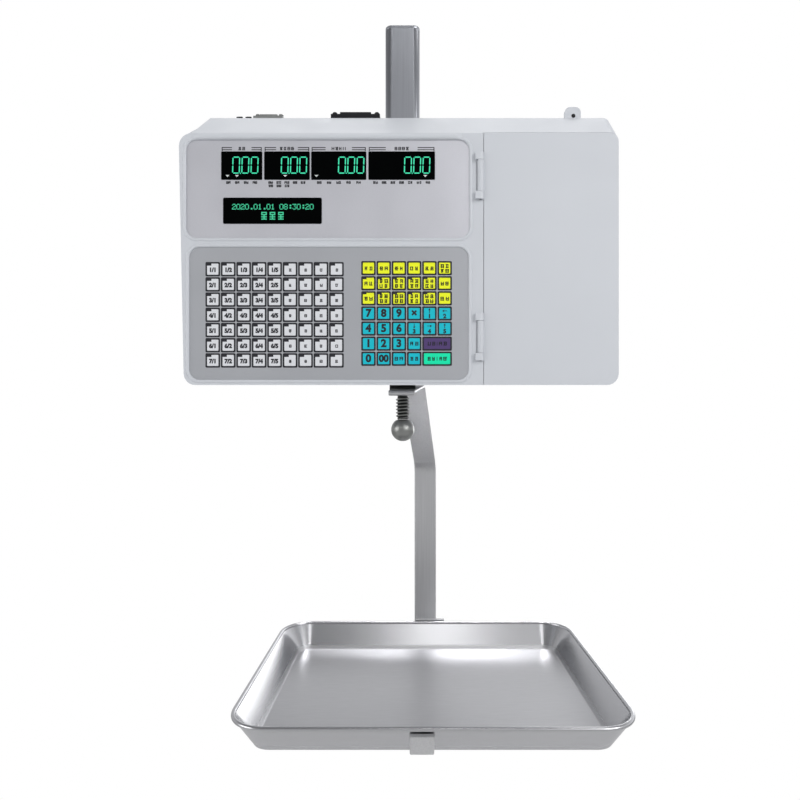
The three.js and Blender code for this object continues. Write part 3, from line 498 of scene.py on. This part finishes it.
def make_pan():
    """The tray: a rolled rim, a rounded foot to its walls, and corners that ease into the straight sides."""
    cad = Box("pan")
    corner, inset, sheet, bead = 36.0, 21.0, 1.0, 2.1
    outer_bend, inner_bend, bend_steps = 2.5, 2.2, 6
    floor_skin = 0.05
    under, floor = cad.bottom, cad.bottom + sheet
    foot = corner - inset
    outer_centre, inner_centre = foot - 0.5, foot - 1.7
    lean = math.degrees(math.atan2(inset - 2 * bead, cad.top - floor))
    profile = [(0.0, under), (foot - 3, under)]
    profile += arc((outer_centre, under + outer_bend), outer_bend, -90, -lean, bend_steps)
    profile += arc((corner - bead, cad.top - bead), bead, -110, 210, 14)
    profile += arc((inner_centre, floor + inner_bend), inner_bend, -lean, -90, bend_steps)
    profile += [(foot - 5.5, floor + floor_skin), (0.0, floor + floor_skin)]
    mesh = Mesh()
    mesh.rings([tray_ring(cad, corner, radius, z) for radius, z in profile])
    mesh.piece("pan_tray", PAN_STEEL, "pan", "pan_steel", ["pan"])


def bent(corners):
    """A path through corners (y, z, radius), with each bend as a true arc."""
    steps = 10
    points = [Vector(corners[0][:2])]
    for i in range(1, len(corners) - 1):
        at = Vector(corners[i][:2])
        radius = corners[i][2]
        back = (Vector(corners[i - 1][:2]) - at).normalized()
        ahead = (Vector(corners[i + 1][:2]) - at).normalized()
        half = back.angle(ahead) / 2
        centre = at + (back + ahead).normalized() * (radius / math.sin(half))
        start = at + back * (radius / math.tan(half)) - centre
        end = at + ahead * (radius / math.tan(half)) - centre
        sweep = start.angle_signed(end)
        for step in range(steps + 1):
            spin = Matrix.Rotation(-sweep * step / steps, 2)
            points.append(centre + spin @ start)
    points.append(Vector(corners[-1][:2]))
    return points


def add_hem(mesh, centre_x, width, y, z, radius):
    """The rolled end of the strap's tab: a bar along X with softened ends."""
    soft_end, soft_size = 0.7, 0.75
    side = width / 2
    ends = ((-side, soft_size), (-side + soft_end, 1), (side - soft_end, 1), (side, soft_size))
    mesh.rings([[(centre_x + x, *point) for point in circle((y, z), radius * size, 24)] for x, size in ends])


def make_strap():
    """The flat bar from the tab under the head, cranked back and down, under the pan and up in front."""
    cad = Box("pan_strap")
    sheet, edge_radius, hem_radius = 3.0, 1.3, 2.9
    half = sheet / 2
    slope = math.tan(math.radians(7.5))
    crank_y, crank_z = cad.back - half, -460.6
    upright_from = crank_z - 20
    tab_tip, tab_z, tab_end = -15.0, -371.0, 58.0
    carrier = cad.bottom + half
    clip_y, clip_tip, clip_rise = -104.2, -121.0, 24.5
    corners = [
        (tab_tip + half, tab_z - half + half * slope, 0),
        (tab_end, tab_z + (tab_end - tab_tip) * slope - half, 9),
        (crank_y, crank_z, 24),
        (crank_y, carrier, 8),
        (clip_y, carrier, 4),
        (clip_tip, carrier + clip_rise, 0),
    ]
    # The bar's middle and width at the tab's tip, at the crank and at the clip.
    centres = (-0.9, 27.5, 18.0)
    widths = (26.9, 27.8, 21.4)

    def along(values, point):
        """The value at a point of the path, which is (y, z)."""
        tip, crank, clip = values
        if point.y > upright_from:
            t = min(max((point.x - tab_tip) / (crank_y - tab_tip), 0), 1)
            return tip + (crank - tip) * t
        t = min(max((crank_y - point.x) / (crank_y - clip_y), 0), 1)
        return crank + (clip - crank) * t

    path = bent(corners)
    rings = []
    for i, point in enumerate(path):
        before, after = path[max(i - 1, 0)], path[min(i + 1, len(path) - 1)]
        ahead = (after - before).normalized()
        normal = Vector((-ahead.y, ahead.x))
        x, side = along(centres, point), along(widths, point) / 2
        ring = []
        for u, v in rounded_rect(-side, side, -half, half, edge_radius, 5):
            edge = point + normal * v
            ring.append((x + u, edge.x, edge.y))
        rings.append(ring)
    mesh = Mesh()
    mesh.rings(rings)
    add_hem(mesh, centres[0], widths[0], tab_tip + 1, tab_z - hem_radius, hem_radius)
    mesh.piece("cranked_strap", STRAP_STEEL, "head", "satin_steel", ["pan_strap"])


def make_clamp_screw():
    """A coarse helical thread running into a turned ball."""
    stud, ball = Box("clamp_stud"), Box("ball_knob")
    crest = stud.width / 2
    root, neck = crest - 1.9, crest - 0.3
    turns, sides, rows = 7, 48, 20
    low, thread_top = stud.bottom, -377.0
    pitch = (thread_top - low) / turns
    count = turns * rows
    rings = []
    for row in range(count + 1):
        z = low + (thread_top - low) * row / count
        fade = min(1, row / rows * 1.5, (count - row) / rows * 1.5)
        ring = []
        for i in range(sides):
            angle = math.tau * i / sides
            phase = ((z - low) / pitch - i / sides) % 1
            ridge = 0.5 - 0.5 * math.cos(math.tau * phase)
            radius = root + (crest - root) * ridge * fade
            ring.append((radius * math.cos(angle), radius * math.sin(angle), z))
        rings.append(ring)
    for radius, z in (
        (root, thread_top + 0.6), (neck, thread_top + 1.4), (neck, stud.top - 1), (root, stud.top),
    ):
        rings.append([(x, y, z) for x, y in circle((0, 0), radius, sides)])
    mesh = Mesh()
    mesh.rings(rings)
    mesh.piece("threaded_stud", THREAD_STEEL, "clamp_screw", "dark_steel", ["clamp_stud"])
    knob = Mesh()
    radius = ball.width / 2
    profile = [(NEAR_AXIS, ball.bottom)]
    profile += arc((0, ball.bottom + radius), radius, -90, 56, 22)[1:]
    profile += [(root + 0.4, ball.top - 0.4), (root - 0.2, ball.top), (NEAR_AXIS, ball.top)]
    add_turned(knob, profile, (0, 0), 56)
    knob.piece("turned_ball", DARK_STEEL, "clamp_screw", "dark_steel", ["ball_knob"])


# ---------- display ----------

PRINT_GAP = 0.02  # between a window and what is lit or printed on it
SEGMENT_THICK, DOT_THICK = 0.06, 0.05


def add_segment(mesh, a, b, thick, front):
    """A hexagonal bar from a to b."""
    along = (b - a).normalized()
    across = Vector((-along.y, along.x)) * thick / 2
    nib = along * thick / 2
    outline = [a, a + nib - across, b - nib - across, b, b - nib + across, a + nib + across]
    add_prism(mesh, outline, front, SEGMENT_THICK)


def add_zero(mesh, left, bottom, width, height, thick, front):
    """A seven-segment zero, leaning slightly to the right."""
    lean, gap, inset = 0.03, thick * 0.38, thick / 2

    def at(u, v):
        x = left + inset + u * (width - thick)
        z = bottom + inset + v * (height - thick)
        return Vector((x + lean * (z - bottom), z))

    corners = [(0, 1), (1, 1), (1, 0.5), (1, 0), (0, 0), (0, 0.5)]
    for (u0, v0), (u1, v1) in zip(corners, corners[1:] + corners[:1]):
        start, end = at(u0, v0), at(u1, v1)
        along = (end - start).normalized() * gap
        add_segment(mesh, start + along, end - along, thick, front)


def add_marks(mesh, x, z, size, front, seed, thick):
    """A small unreadable mark: a few short strokes in a square, standing where a caption would be."""
    source = random.Random(seed)
    half = size / 2
    for level in (-0.8, 0, 0.8):
        if source.random() < 0.85:
            reach = half * source.uniform(0.5, 1)
            middle = z + level * half
            add_bar(mesh, x - reach, x + reach, middle - thick / 2, middle + thick / 2, front)
    for place in (source.uniform(-0.8, -0.3), source.uniform(0.2, 0.8)):
        column = x + half * place
        add_bar(mesh, column - thick / 2, column + thick / 2, z - half, z + half, front)


def add_reading(mesh, window, margin, front):
    """Three lit zeros, with a point after the first."""
    height, width, pitch, thick = 16.2, 7.4, 8.75, 1.05
    bottom = window.bottom + 5.6
    first = window.right - margin - width - 2 * pitch
    for i in range(3):
        add_zero(mesh, first + i * pitch, bottom, width, height, thick, front)
    point = first + width + 0.1
    add_bar(mesh, point, point + 1, bottom - 0.1, bottom + 0.9, front, SEGMENT_THICK)


def add_marker(mesh, x, z, front):
    """A small triangle that points down at a caption."""
    reach, half = 1.9, 0.9
    add_prism(mesh, [(x - reach, z + half), (x, z - half), (x + reach, z + half)], front, DOT_THICK)


def add_header(mesh, window, front, groups, seed):
    """The frame of thin lines above a window, with marks in its gap."""
    line, margin, step = 0.8, 0.4, 2.1
    mark_size, mark_pitch, mark_thick = 3.0, 3.6, 0.75
    bottom = window.top + 1.3
    reach = window.width * 0.26
    for level in (bottom, bottom + step):
        add_bar(mesh, window.left + margin, window.left + reach, level, level + line, front)
        add_bar(mesh, window.right - reach, window.right - margin, level, level + line, front)
    for edge in (window.left + margin, window.right - margin - line):
        add_bar(mesh, edge, edge + line, bottom - line, bottom + step + line, front)
    for i in range(groups):
        x = window.x + (i - (groups - 1) / 2) * mark_pitch
        add_marks(mesh, x, bottom + 1.5, mark_size, front, seed + i, mark_thick)


def add_captions(mesh, window, front, count, seed, second_row):
    """Pairs of marks below a window, and a second row under the first few."""
    spacing = window.width / (count + 0.6)
    size, thick = 2.3, 0.7
    upper, lower = window.bottom - 2.7, window.bottom - 5.9
    for i in range(count):
        for side in (-size / 2, size / 2):
            x = window.left + spacing * (i + 0.8) + side
            mark = seed + i * 2 + side
            add_marks(mesh, x, upper, size, front, mark, thick)
            if i < second_row:
                add_marks(mesh, x, lower, size, front, mark + 500, thick)


def make_readouts():
    """Lit 0.00 in each window, with markers, header lines and caption marks around it."""
    surface = Box("display_panel").front
    readings, markers, prints = Mesh(), Mesh(), Mesh()
    # Each window's right margin, the places of its markers, and how many marks and captions go with it.
    for n, (name, margin, marker_places, groups, captions, second_row) in enumerate((
        ("tare_window", 3.6, (6, 15), 2, 4, 0),
        ("weight_window", 2.6, (20,), 4, 5, 3),
        ("unit_price_window", 2.0, (5,), 4, 5, 0),
        ("total_window", 4.6, (54,), 4, 7, 0),
    )):
        window = Box(name)
        front = window.front - PRINT_GAP
        add_reading(readings, window, margin, front)
        for place in marker_places:
            add_marker(markers, window.left + place, window.bottom + 3.4, front)
        add_header(prints, window, surface, groups, 10 * n)
        add_captions(prints, window, surface, captions, 100 * n, second_row)
    readings.piece("lit_digits", SEGMENT, "head", "dark_window")
    markers.piece("window_markers", PALE_INK, "head", "dark_window")
    prints.piece("display_print", INK, "head", "display_film")


DOTS = {
    "0": "01110 10001 10001 10001 10001 10001 01110",
    "1": "00100 01100 00100 00100 00100 00100 01110",
    "2": "01110 10001 00001 00110 01000 10000 11111",
    "3": "11111 00010 00100 00010 00001 10001 01110",
    "8": "01110 10001 10001 01110 10001 10001 01110",
    ".": "00000 00000 00000 00000 00000 00110 00110",
    ":": "00000 00110 00110 00000 00110 00110 00000",
    " ": "00000 00000 00000 00000 00000 00000 00000",
    "#": "11111 10001 11111 00100 11111 00100 11111",
}


def add_dot_row(mesh, text, dot, advance, top, centre, front):
    """A row of dot-matrix characters; dot is the dots' pitch and advance the characters'."""
    lit_part = dot * 0.96
    start = centre - len(text) * advance / 2
    for n, character in enumerate(text):
        for r, line in enumerate(DOTS[character].split()):
            for c, on in enumerate(line):
                if on == "1":
                    x, z = start + n * advance + c * dot, top - r * dot
                    add_bar(mesh, x, x + lit_part, z - lit_part, z, front, DOT_THICK)


def make_clock():
    """Dot-matrix date and time, and a second short row of plain marks."""
    window = Box("clock_window")
    front = window.front - PRINT_GAP
    mesh = Mesh()
    add_dot_row(mesh, "2020.01.01 08:30:20", 0.76, 4.1, window.top - 6.0, window.x + 0.6, front)
    add_dot_row(mesh, "###", 1.05, 8.0, window.top - 13.6, window.x + 1.5, front)
    mesh.piece("clock_dots", DIM_SEGMENT, "head", "dark_window")


def make_panel_rims():
    """A low rounded bead round each recessed panel, moulded with the front shell."""
    section = [(-0.2, 0.6), (0.1, -0.35), (0.8, -0.85), (1.7, -0.9), (2.5, -0.6), (3.1, 0.0), (3.2, 0.6)]
    panel_corner = 10.3
    for name, panel_name in (("display_rim", "display_panel"), ("keypad_rim", "keypad_overlay")):
        panel = Box(panel_name)
        rings = []
        for out, lift in section:
            left, right = panel.left - out, panel.right + out
            outline = rounded_rect(left, right, panel.bottom - out, panel.top + out, panel_corner + out, 10)
            rings.append([(x, HEAD_FACE + lift, z) for x, z in outline])
        mesh = Mesh()
        mesh.rings(rings, closed=True)
        mesh.piece(name, HOUSING, "head", "housing_plastic")


def make_brow():
    """The roof's slope runs on below its crease and rolls over into the display's recess."""
    panel = Box("display_panel")
    section = [
        (5.9, 0.2), (5.4, -0.6), (4.6, -1.3), (3.4, -1.9), (2.2, -2.0), (1.1, -1.7), (0.3, -1.0), (-0.1, 0.0),
        (0.0, 0.8), (5.0, 0.8),
    ]
    inset, ease, steps = 7, 9, 6
    left, right = panel.left + inset, panel.right - inset
    stations = [left + ease * i / steps for i in range(steps + 1)]
    stations += [right - ease + ease * i / steps for i in range(steps + 1)]
    rings = []
    for x in stations:
        rise = math.sin(math.pi / 2 * min(1, (x - left) / ease, (right - x) / ease))
        ring = []
        for out, lift in section:
            ring.append((x, HEAD_FACE + lift * (rise if lift < 0 else 1), panel.top + out))
        rings.append(ring)
    mesh = Mesh()
    mesh.rings(rings)
    mesh.piece("display_brow", HOUSING, "head", "housing_plastic")


# ---------- connectors, ear and paper ----------

def make_ear_rivet():
    """A small domed rivet in the hole of the ear on the roof, black as painted shade for the dark hole;
    centre is its X and Z.
    """
    centre, bore, ear_front = (170.5, -98.4), 2.0, -29.4
    shank, length, dome, steps = bore - 0.15, 3.4, 0.7, 6
    profile = [(NEAR_AXIS, ear_front + length), (shank, ear_front + length), (shank, ear_front - 0.05)]
    for i in range(steps + 1):
        turn = math.radians(90) * i / steps
        profile.append((bore * math.cos(turn) + NEAR_AXIS, ear_front - 0.1 - dome * math.sin(turn)))
    mesh = Mesh()
    add_turned(mesh, profile, centre, 24, "Y")
    # painted shade: the rivet is a fastener, and its black plastic stands in for the shade inside the ear's
    # hole
    mesh.piece("ear_rivet", BLACK, "head", "black_plastic")


def make_port_details():
    """Jack posts beside each D socket, and its two rows of contacts."""
    post_inset, post_radius, post_chamfer, post_height = 3.4, 2.5, 0.4, 4.0
    bore_radius, row_offset = 1.4, 1.4
    contact_radius, contact_rise = 0.6, 0.3
    # The top of each flange, the contacts in its longer row, and their pitch.
    for name, flange_top, first_row, pitch, material, slot in (
        ("parallel_port", -96.0, 13, 2.2, BLACK, "black_plastic"),
        ("serial_port", -98.0, 5, 2.77, DARK_STEEL, "dark_steel"),
    ):
        port = Box(name)
        posts, contacts = Mesh(), Mesh()
        top = flange_top + post_height
        hexagon = [
            (post_radius, flange_top - 0.2), (post_radius, top - post_chamfer),
            (post_radius - post_chamfer, top),
        ]
        for x in (port.left + post_inset, port.right - post_inset):
            add_turned(posts, hexagon, (x, port.y), 6)
            add_turned(posts, [(bore_radius, top - 0.2), (bore_radius, top + 0.2)], (x, port.y), 16)
        contact = [
            (contact_radius, port.top - contact_rise), (contact_radius, port.top + 0.25),
            (contact_radius / 2, port.top + contact_rise),
        ]
        for row, count in ((row_offset, first_row), (-row_offset, first_row - 1)):
            for i in range(count):
                x = port.x + (i - (count - 1) / 2) * pitch
                add_turned(contacts, contact, (x, port.y + row), 10)
        posts.piece(f"{name}_posts", material, "head", slot)
        contacts.piece(f"{name}_contacts", BRASS, "head", "satin_steel")


def add_ribbon(mesh, path, front, back, thick):
    """A thin strip following a path in X and Z."""
    points = [Vector(p) for p in path]
    rings = []
    for i, point in enumerate(points):
        ahead = (points[min(i + 1, len(points) - 1)] - points[max(i - 1, 0)]).normalized()
        side = Vector((-ahead.y, ahead.x)) * thick / 2
        a, b = point + side, point - side
        rings.append([(a.x, front, a.y), (a.x, back, a.y), (b.x, back, b.y), (b.x, front, b.y)])
    mesh.rings(rings)


def make_paper_path():
    """Paper off the roll, round the guide and over the platen; the label goes out, its backing is rewound."""
    roll, guide, platen = Box("label_roll"), Box("guide_roller"), Box("platen_roller")
    spool, chute = Box("rewind_spool"), Box("exit_chute")
    front, back = roll.front + 2.5, platen.back - 1.5
    thick, gap, rewound_radius = 0.16, 0.04, 11.3
    lift = thick / 2 + gap
    web = Mesh()
    path = arc((roll.x, roll.z), roll.width / 2 + lift, 215, 229.5, 4)
    path += arc((guide.x, guide.z), guide.width / 2 + lift, 229.5, 270, 6)
    path += arc((platen.x, platen.z), platen.width / 2 + lift, 90, -40, 14)
    path += arc((spool.x, spool.z), rewound_radius, -40, -200, 14)
    add_ribbon(web, path, front, back, thick)
    web.piece("label_web", PAPER, "head", "label_paper")
    label = Mesh()
    top = platen.top + lift + thick + 0.02
    ends = [(platen.x, top), (platen.right - 2, top - 0.4), (chute.left + 2.5, chute.top + 0.8)]
    ends += [(chute.left + 5, chute.top + lift), (chute.right + 1, chute.top + lift)]
    add_ribbon(label, ends, front, back, thick)
    label.piece("peeled_label", PAPER, "head", "label_paper")


def make_inlet_pins():
    """Three flat pins standing in the mains socket."""
    inlet = Box("power_inlet")
    half_width, half_height, corner = 1, 2, 0.3
    tip, root = inlet.back - 1.5, inlet.back - 9.5
    mesh = Mesh()
    for across, up in ((-7, -2), (0, 2), (7, -2)):
        x, z = inlet.x + across, inlet.z + up
        add_plate(mesh, x - half_width, x + half_width, z - half_height, z + half_height, corner, tip, root)
    mesh.piece("inlet_pins", BRASS, "head", "satin_steel")


# ---------- keypad ----------

LEGENDS = {}


def text_shape(text, size, weight):
    """The outline mesh of a short number or sign, centred and slightly thick, as (points, faces)."""
    key = (text, size, weight)
    if key not in LEGENDS:
        curve = bpy.data.curves.new("legend", "FONT")
        curve.body = text
        curve.size = size * MM
        curve.offset = weight * MM
        curve.align_x = "CENTER"
        curve.align_y = "CENTER"
        curve.resolution_u = 3
        holder = bpy.data.objects.new("legend", curve)
        bpy.context.scene.collection.objects.link(holder)
        bpy.context.view_layer.update()
        flat = bpy.data.meshes.new_from_object(holder.evaluated_get(bpy.context.evaluated_depsgraph_get()))
        shape = bmesh.new()
        shape.from_mesh(flat)
        bmesh.ops.remove_doubles(shape, verts=shape.verts, dist=1e-7)
        extruded = bmesh.ops.extrude_face_region(shape, geom=shape.faces[:])
        for element in extruded["geom"]:
            if isinstance(element, bmesh.types.BMVert):
                element.co.z += PRINT_THICK * MM
        bmesh.ops.recalc_face_normals(shape, faces=shape.faces)
        shape.verts.index_update()
        points = [v.co / MM for v in shape.verts]
        faces = [[v.index for v in f.verts] for f in shape.faces]
        shape.free()
        bpy.data.meshes.remove(flat)
        bpy.data.objects.remove(holder)
        bpy.data.curves.remove(curve)
        LEGENDS[key] = (points, faces)
    return LEGENDS[key]


def add_text(mesh, text, x, z, size, front, weight):
    points, faces = text_shape(text, size, weight)
    mesh.add([(x + p.x, front - p.z, z + p.y) for p in points], faces)


KEY_EDGE = 0.25
KEY_LIFT = 0.35


def add_key(keys, outlines, x, z, width, height, surface):
    """One key: a dark printed outline with a slightly raised coloured face inside it."""
    outline_corner, face_corner, rim = 1.1, 0.7, 1.55
    w, h = width / 2, height / 2
    add_plate(outlines, x - w, x + w, z - h, z + h, outline_corner, surface, surface - 0.06)
    w, h = w - rim, h - rim
    back, front = surface - 0.05, surface - KEY_LIFT
    add_plate(keys, x - w, x + w, z - h, z + h, face_corner, back, front, KEY_EDGE)


def make_white_keys():
    """Seven rows of nine preset keys with dark corner tabs; the first five of a row are numbered."""
    overlay = Box("keypad_overlay")
    surface = overlay.front
    top = surface - KEY_LIFT
    columns, rows, numbered = 9, 7, 5
    width, height, pitch_x, pitch_z = 13.9, 13.7, 14.7, 14.46
    first_x, first_z = overlay.left + 22.55, overlay.top - 20.9
    keys, outlines, tabs, legends = Mesh(), Mesh(), Mesh(), Mesh()
    for row in range(rows):
        for column in range(columns):
            x, z = first_x + column * pitch_x, first_z - row * pitch_z
            legend_z = z - 0.9
            add_key(keys, outlines, x, z, width, height, surface)
            add_bar(tabs, x - 6.1, x - 1.2, z + 3.3, z + 6.0, top)
            if column < numbered:
                add_text(legends, f"{row + 1}/{column + 1}", x + 0.1, legend_z, 5.4, top, 0.36)
            else:
                add_marks(legends, x + 0.2, legend_z, 2.8, top, 3000 + row * columns + column, 0.7)
    keys.piece("white_keys", WHITE_KEY, "head", "keypad_film")
    outlines.piece("white_key_outlines", INK, "head", "keypad_film")
    tabs.piece("key_tabs", INK, "head", "keypad_film")
    legends.piece("preset_numbers", INK, "head", "keypad_film")


NUMBER_KEYS = ("789", "456", "123")
PAIR = (-2.3, 2.3)  # marks to the left and right of a key's middle
MARK_SIZE = 3.5


def add_yellow_legend(legends, tabs, x, z, row, column, seed, top):
    """One or two lines of paired marks, and a corner tab on the lower rows."""
    two_lines = (column == 5 and row == 0) or (row > 0 and 0 < column < 5)
    for level in (2.3, -2.3) if two_lines else (0,):
        for side in PAIR:
            add_marks(legends, x + side, z + level - 0.4, MARK_SIZE, top, seed + side + level, 0.85)
    if row > 0 and column < 5:
        add_bar(tabs, x - 6.2, x - 1.8, z + 3.8, z + 6.1, top)


def add_blue_legend(legends, x, z, row, column, seed, top):
    """A digit, two zeros, a times sign, an arrow with a small digit, or paired marks."""
    large, small = 10.0, 5.4
    if row < 6 and column < 3:
        add_text(legends, NUMBER_KEYS[row - 3][column], x, z, large, top, 0.5)
    elif row == 6 and column == 0:
        add_text(legends, "0", x, z, large, top, 0.5)
    elif row == 6 and column == 1:
        add_text(legends, "00", x, z, 9.0, top, 0.5)
    elif row == 3 and column == 3:
        add_text(legends, "×", x, z, large, top, 0.4)
    elif row in (3, 4) and column >= 3:
        add_arrow(legends, x, z + 2.4, (row * 3 + column) % 4, top)
        add_text(legends, str(row * 3 + column - 12), x, z - 2.8, small, top, 0.34)
    else:
        for side in PAIR:
            add_marks(legends, x + side, z, MARK_SIZE, top, seed + side, 0.8)


def make_coloured_keys():
    """Function keys in yellow, number keys in blue and two wide keys, purple and green."""
    overlay = Box("keypad_overlay")
    surface = overlay.front
    top = surface - KEY_LIFT
    width, height, pitch_x, pitch_z = 13.7, 13.5, 14.5, 14.36
    first_x, first_z = overlay.left + 170.6, overlay.top - 19.9
    yellow, blue, outlines, legends, tabs = Mesh(), Mesh(), Mesh(), Mesh(), Mesh()
    for row in range(7):
        for column in range(6 if row < 5 else 4):
            x, z = first_x + column * pitch_x, first_z - row * pitch_z
            seed = 1000 + row * 10 + column
            add_key(yellow if row < 3 else blue, outlines, x, z, width, height, surface)
            if row < 3:
                add_yellow_legend(legends, tabs, x, z, row, column, seed, top)
            else:
                add_blue_legend(legends, x, z, row, column, seed, top)
    for name, row, material in (("purple_key", 5, PURPLE_KEY), ("green_key", 6, GREEN_KEY)):
        key = Mesh()
        x, z = first_x + 4.5 * pitch_x, first_z - row * pitch_z
        add_key(key, outlines, x, z, width + pitch_x, height, surface)
        for i, offset in enumerate((-7.6, -3.4, 3.4, 7.6)):
            add_marks(legends, x + offset, z, MARK_SIZE, top, 2000 + row * 10 + i, 0.8)
        add_bar(legends, x - 0.3, x + 0.3, z - 1.8, z + 1.8, top)
        key.piece(name, material, "head", "keypad_film")
    yellow.piece("function_keys", YELLOW_KEY, "head", "keypad_film")
    blue.piece("number_keys", BLUE_KEY, "head", "keypad_film")
    outlines.piece("key_outlines", INK, "head", "keypad_film")
    tabs.piece("function_tabs", INK, "head", "keypad_film")
    legends.piece("key_legends", INK, "head", "keypad_film")


def add_arrow(mesh, x, z, quarter, front):
    """A small arrow turned by a number of quarters."""
    shape = [(-2.2, -0.3), (0.6, -0.3), (0.6, -1.2), (2.4, 0), (0.6, 1.2), (0.6, 0.3), (-2.2, 0.3)]
    angle = math.radians(90) * quarter
    c, s = math.cos(angle), math.sin(angle)
    add_prism(mesh, [(x + u * c - v * s, z + u * s + v * c) for u, v in shape], front, PRINT_THICK)


# ---------- camera, light and stage ----------

def make_camera():
    """A level wide-angle view from just below the head; a small shift frames the whole scale."""
    camera = bpy.data.cameras.new("camera")
    camera.lens = 27
    camera.sensor_width = 36
    camera.shift_x = -0.0125
    camera.shift_y = 0.025
    camera.clip_end = 50
    holder = bpy.data.objects.new("camera", camera)
    holder.location = (0.0076, -0.6275, -0.4016)
    holder.rotation_euler = (math.radians(90), 0, 0)
    bpy.context.scene.collection.objects.link(holder)
    bpy.context.scene.camera = holder


def add_light(name, place, target, size, power, spread=180):
    """A softbox; spread is the width of its beam in degrees."""
    lamp = bpy.data.lights.new(name, "AREA")
    lamp.shape = "RECTANGLE"
    lamp.size, lamp.size_y = size
    lamp.energy = power
    lamp.spread = math.radians(spread)
    holder = bpy.data.objects.new(name, lamp)
    holder.location = place
    holder.rotation_euler = (Vector(target) - Vector(place)).to_track_quat("-Z", "Y").to_euler()
    holder.visible_camera = False
    bpy.context.scene.collection.objects.link(holder)


# Brightness of the room in each direction; straight up it falls to ROOM_ABOVE times the rest.
ROOM_LEFT, ROOM_RIGHT = 0.48, 0.8
ROOM_FRONT, ROOM_BACK = 1.0, 1.5
ROOM_ABOVE = 0.45


def make_world():
    """A pale studio: brighter to the right and the back, and pure white where the camera sees it."""
    world = bpy.data.worlds.new("studio")
    bpy.context.scene.world = world
    world.use_nodes = True
    tree = world.node_tree
    room = tree.nodes["Background"]
    coordinates = tree.nodes.new("ShaderNodeTexCoord")
    parts = tree.nodes.new("ShaderNodeSeparateXYZ")
    links = tree.links
    links.new(coordinates.outputs["Generated"], parts.inputs["Vector"])

    def change(axis, start, end, low, high):
        """A smooth change of brightness along one direction."""
        ramp = tree.nodes.new("ShaderNodeMapRange")
        ramp.interpolation_type = "SMOOTHSTEP"
        for socket, value in (("From Min", start), ("From Max", end), ("To Min", low), ("To Max", high)):
            ramp.inputs[socket].default_value = value
        links.new(parts.outputs[axis], ramp.inputs["Value"])
        return ramp.outputs["Result"]

    def product(a, b):
        times = tree.nodes.new("ShaderNodeMath")
        times.operation = "MULTIPLY"
        links.new(a, times.inputs[0])
        links.new(b, times.inputs[1])
        return times.outputs["Value"]

    sideways = change("X", -0.6, 0.6, ROOM_LEFT, ROOM_RIGHT)
    depthways = change("Y", -0.6, 0.7, ROOM_FRONT, ROOM_BACK)
    upwards = change("Z", 0.35, 0.8, 1.0, ROOM_ABOVE)
    links.new(product(product(sideways, depthways), upwards), room.inputs["Strength"])
    room.inputs["Color"].default_value = (0.97, 0.98, 1.0, 1)
    white = tree.nodes.new("ShaderNodeBackground")
    white.inputs["Color"].default_value = (1, 1, 1, 1)
    seen = tree.nodes.new("ShaderNodeLightPath")
    mix = tree.nodes.new("ShaderNodeMixShader")
    links.new(seen.outputs["Is Camera Ray"], mix.inputs["Fac"])
    links.new(room.outputs["Background"], mix.inputs[1])
    links.new(white.outputs["Background"], mix.inputs[2])
    links.new(mix.outputs["Shader"], tree.nodes["World Output"].inputs["Surface"])


FLOOR_Z, FLOOR_RADIUS, FLOOR_CURVE = -1600, 4500, 1500


def make_sweep():
    """A white floor far below the pan, curving up all round. It throws light up, unseen by the camera."""
    look = Shader("floor_white", (0.75, 0.75, 0.75), 0.7)
    look.tint(look.spread(look.noise(1.5, 2), 0, 1), 0.99)
    look.main.inputs["Emission Color"].default_value = (1, 1, 1, 1)
    look.main.inputs["Emission Strength"].default_value = 0.04
    profile = [(NEAR_AXIS, FLOOR_Z)]
    profile += arc((FLOOR_RADIUS, FLOOR_Z + FLOOR_CURVE), FLOOR_CURVE, -90, -30, 8)
    shape = Mesh()
    add_turned(shape, profile, (0, 0), 64)
    open_on_top = shape.faces[:-1]
    data = bpy.data.meshes.new("floor")
    data.from_pydata([v * MM for v in shape.vertices], [], open_on_top)
    data.materials.append(look.material)
    data.shade_smooth()
    stand = bpy.data.objects.new("floor", data)
    stand.visible_camera = False
    bpy.context.scene.collection.objects.link(stand)


def make_stage():
    """The colour view, the room, the softboxes and the sweep."""
    scene = bpy.context.scene
    scene.view_settings.view_transform = "Standard"
    scene.view_settings.look = "None"
    make_world()
    head = (0.0, 0.0, -0.4)
    strap = (0.0, 0.0, -0.6)
    add_light("front_softbox", (0.2, -2.2, 2.11), strap, (0.35, 0.5), 3.0)
    add_light("left_softbox", (-2.3, -1.2, 0.1), head, (1.6, 1.6), 22)
    add_light("right_softbox", (1.6, -1.8, 0.75), head, (1.5, 1.5), 28)
    add_light("top_softbox", (0.1, 0.45, 1.3), head, (1.6, 0.7), 7)
    add_light("pan_softbox", (0.1, 0.27, 0.35), (0.05, 0.17, -0.68), (0.5, 0.12), 0.22, 38)
    add_light("rear_softbox", (1.35, 2.6, -0.5), (0.0, 0.0, -0.65), (1.9, 0.8), 13)
    make_sweep()


make_camera()
make_stage()
dress_cad_nodes()
make_pan()
make_strap()
make_clamp_screw()
make_readouts()
make_clock()
make_panel_rims()
make_brow()
make_port_details()
make_ear_rivet()
make_paper_path()
make_inlet_pins()
make_white_keys()
make_coloured_keys()
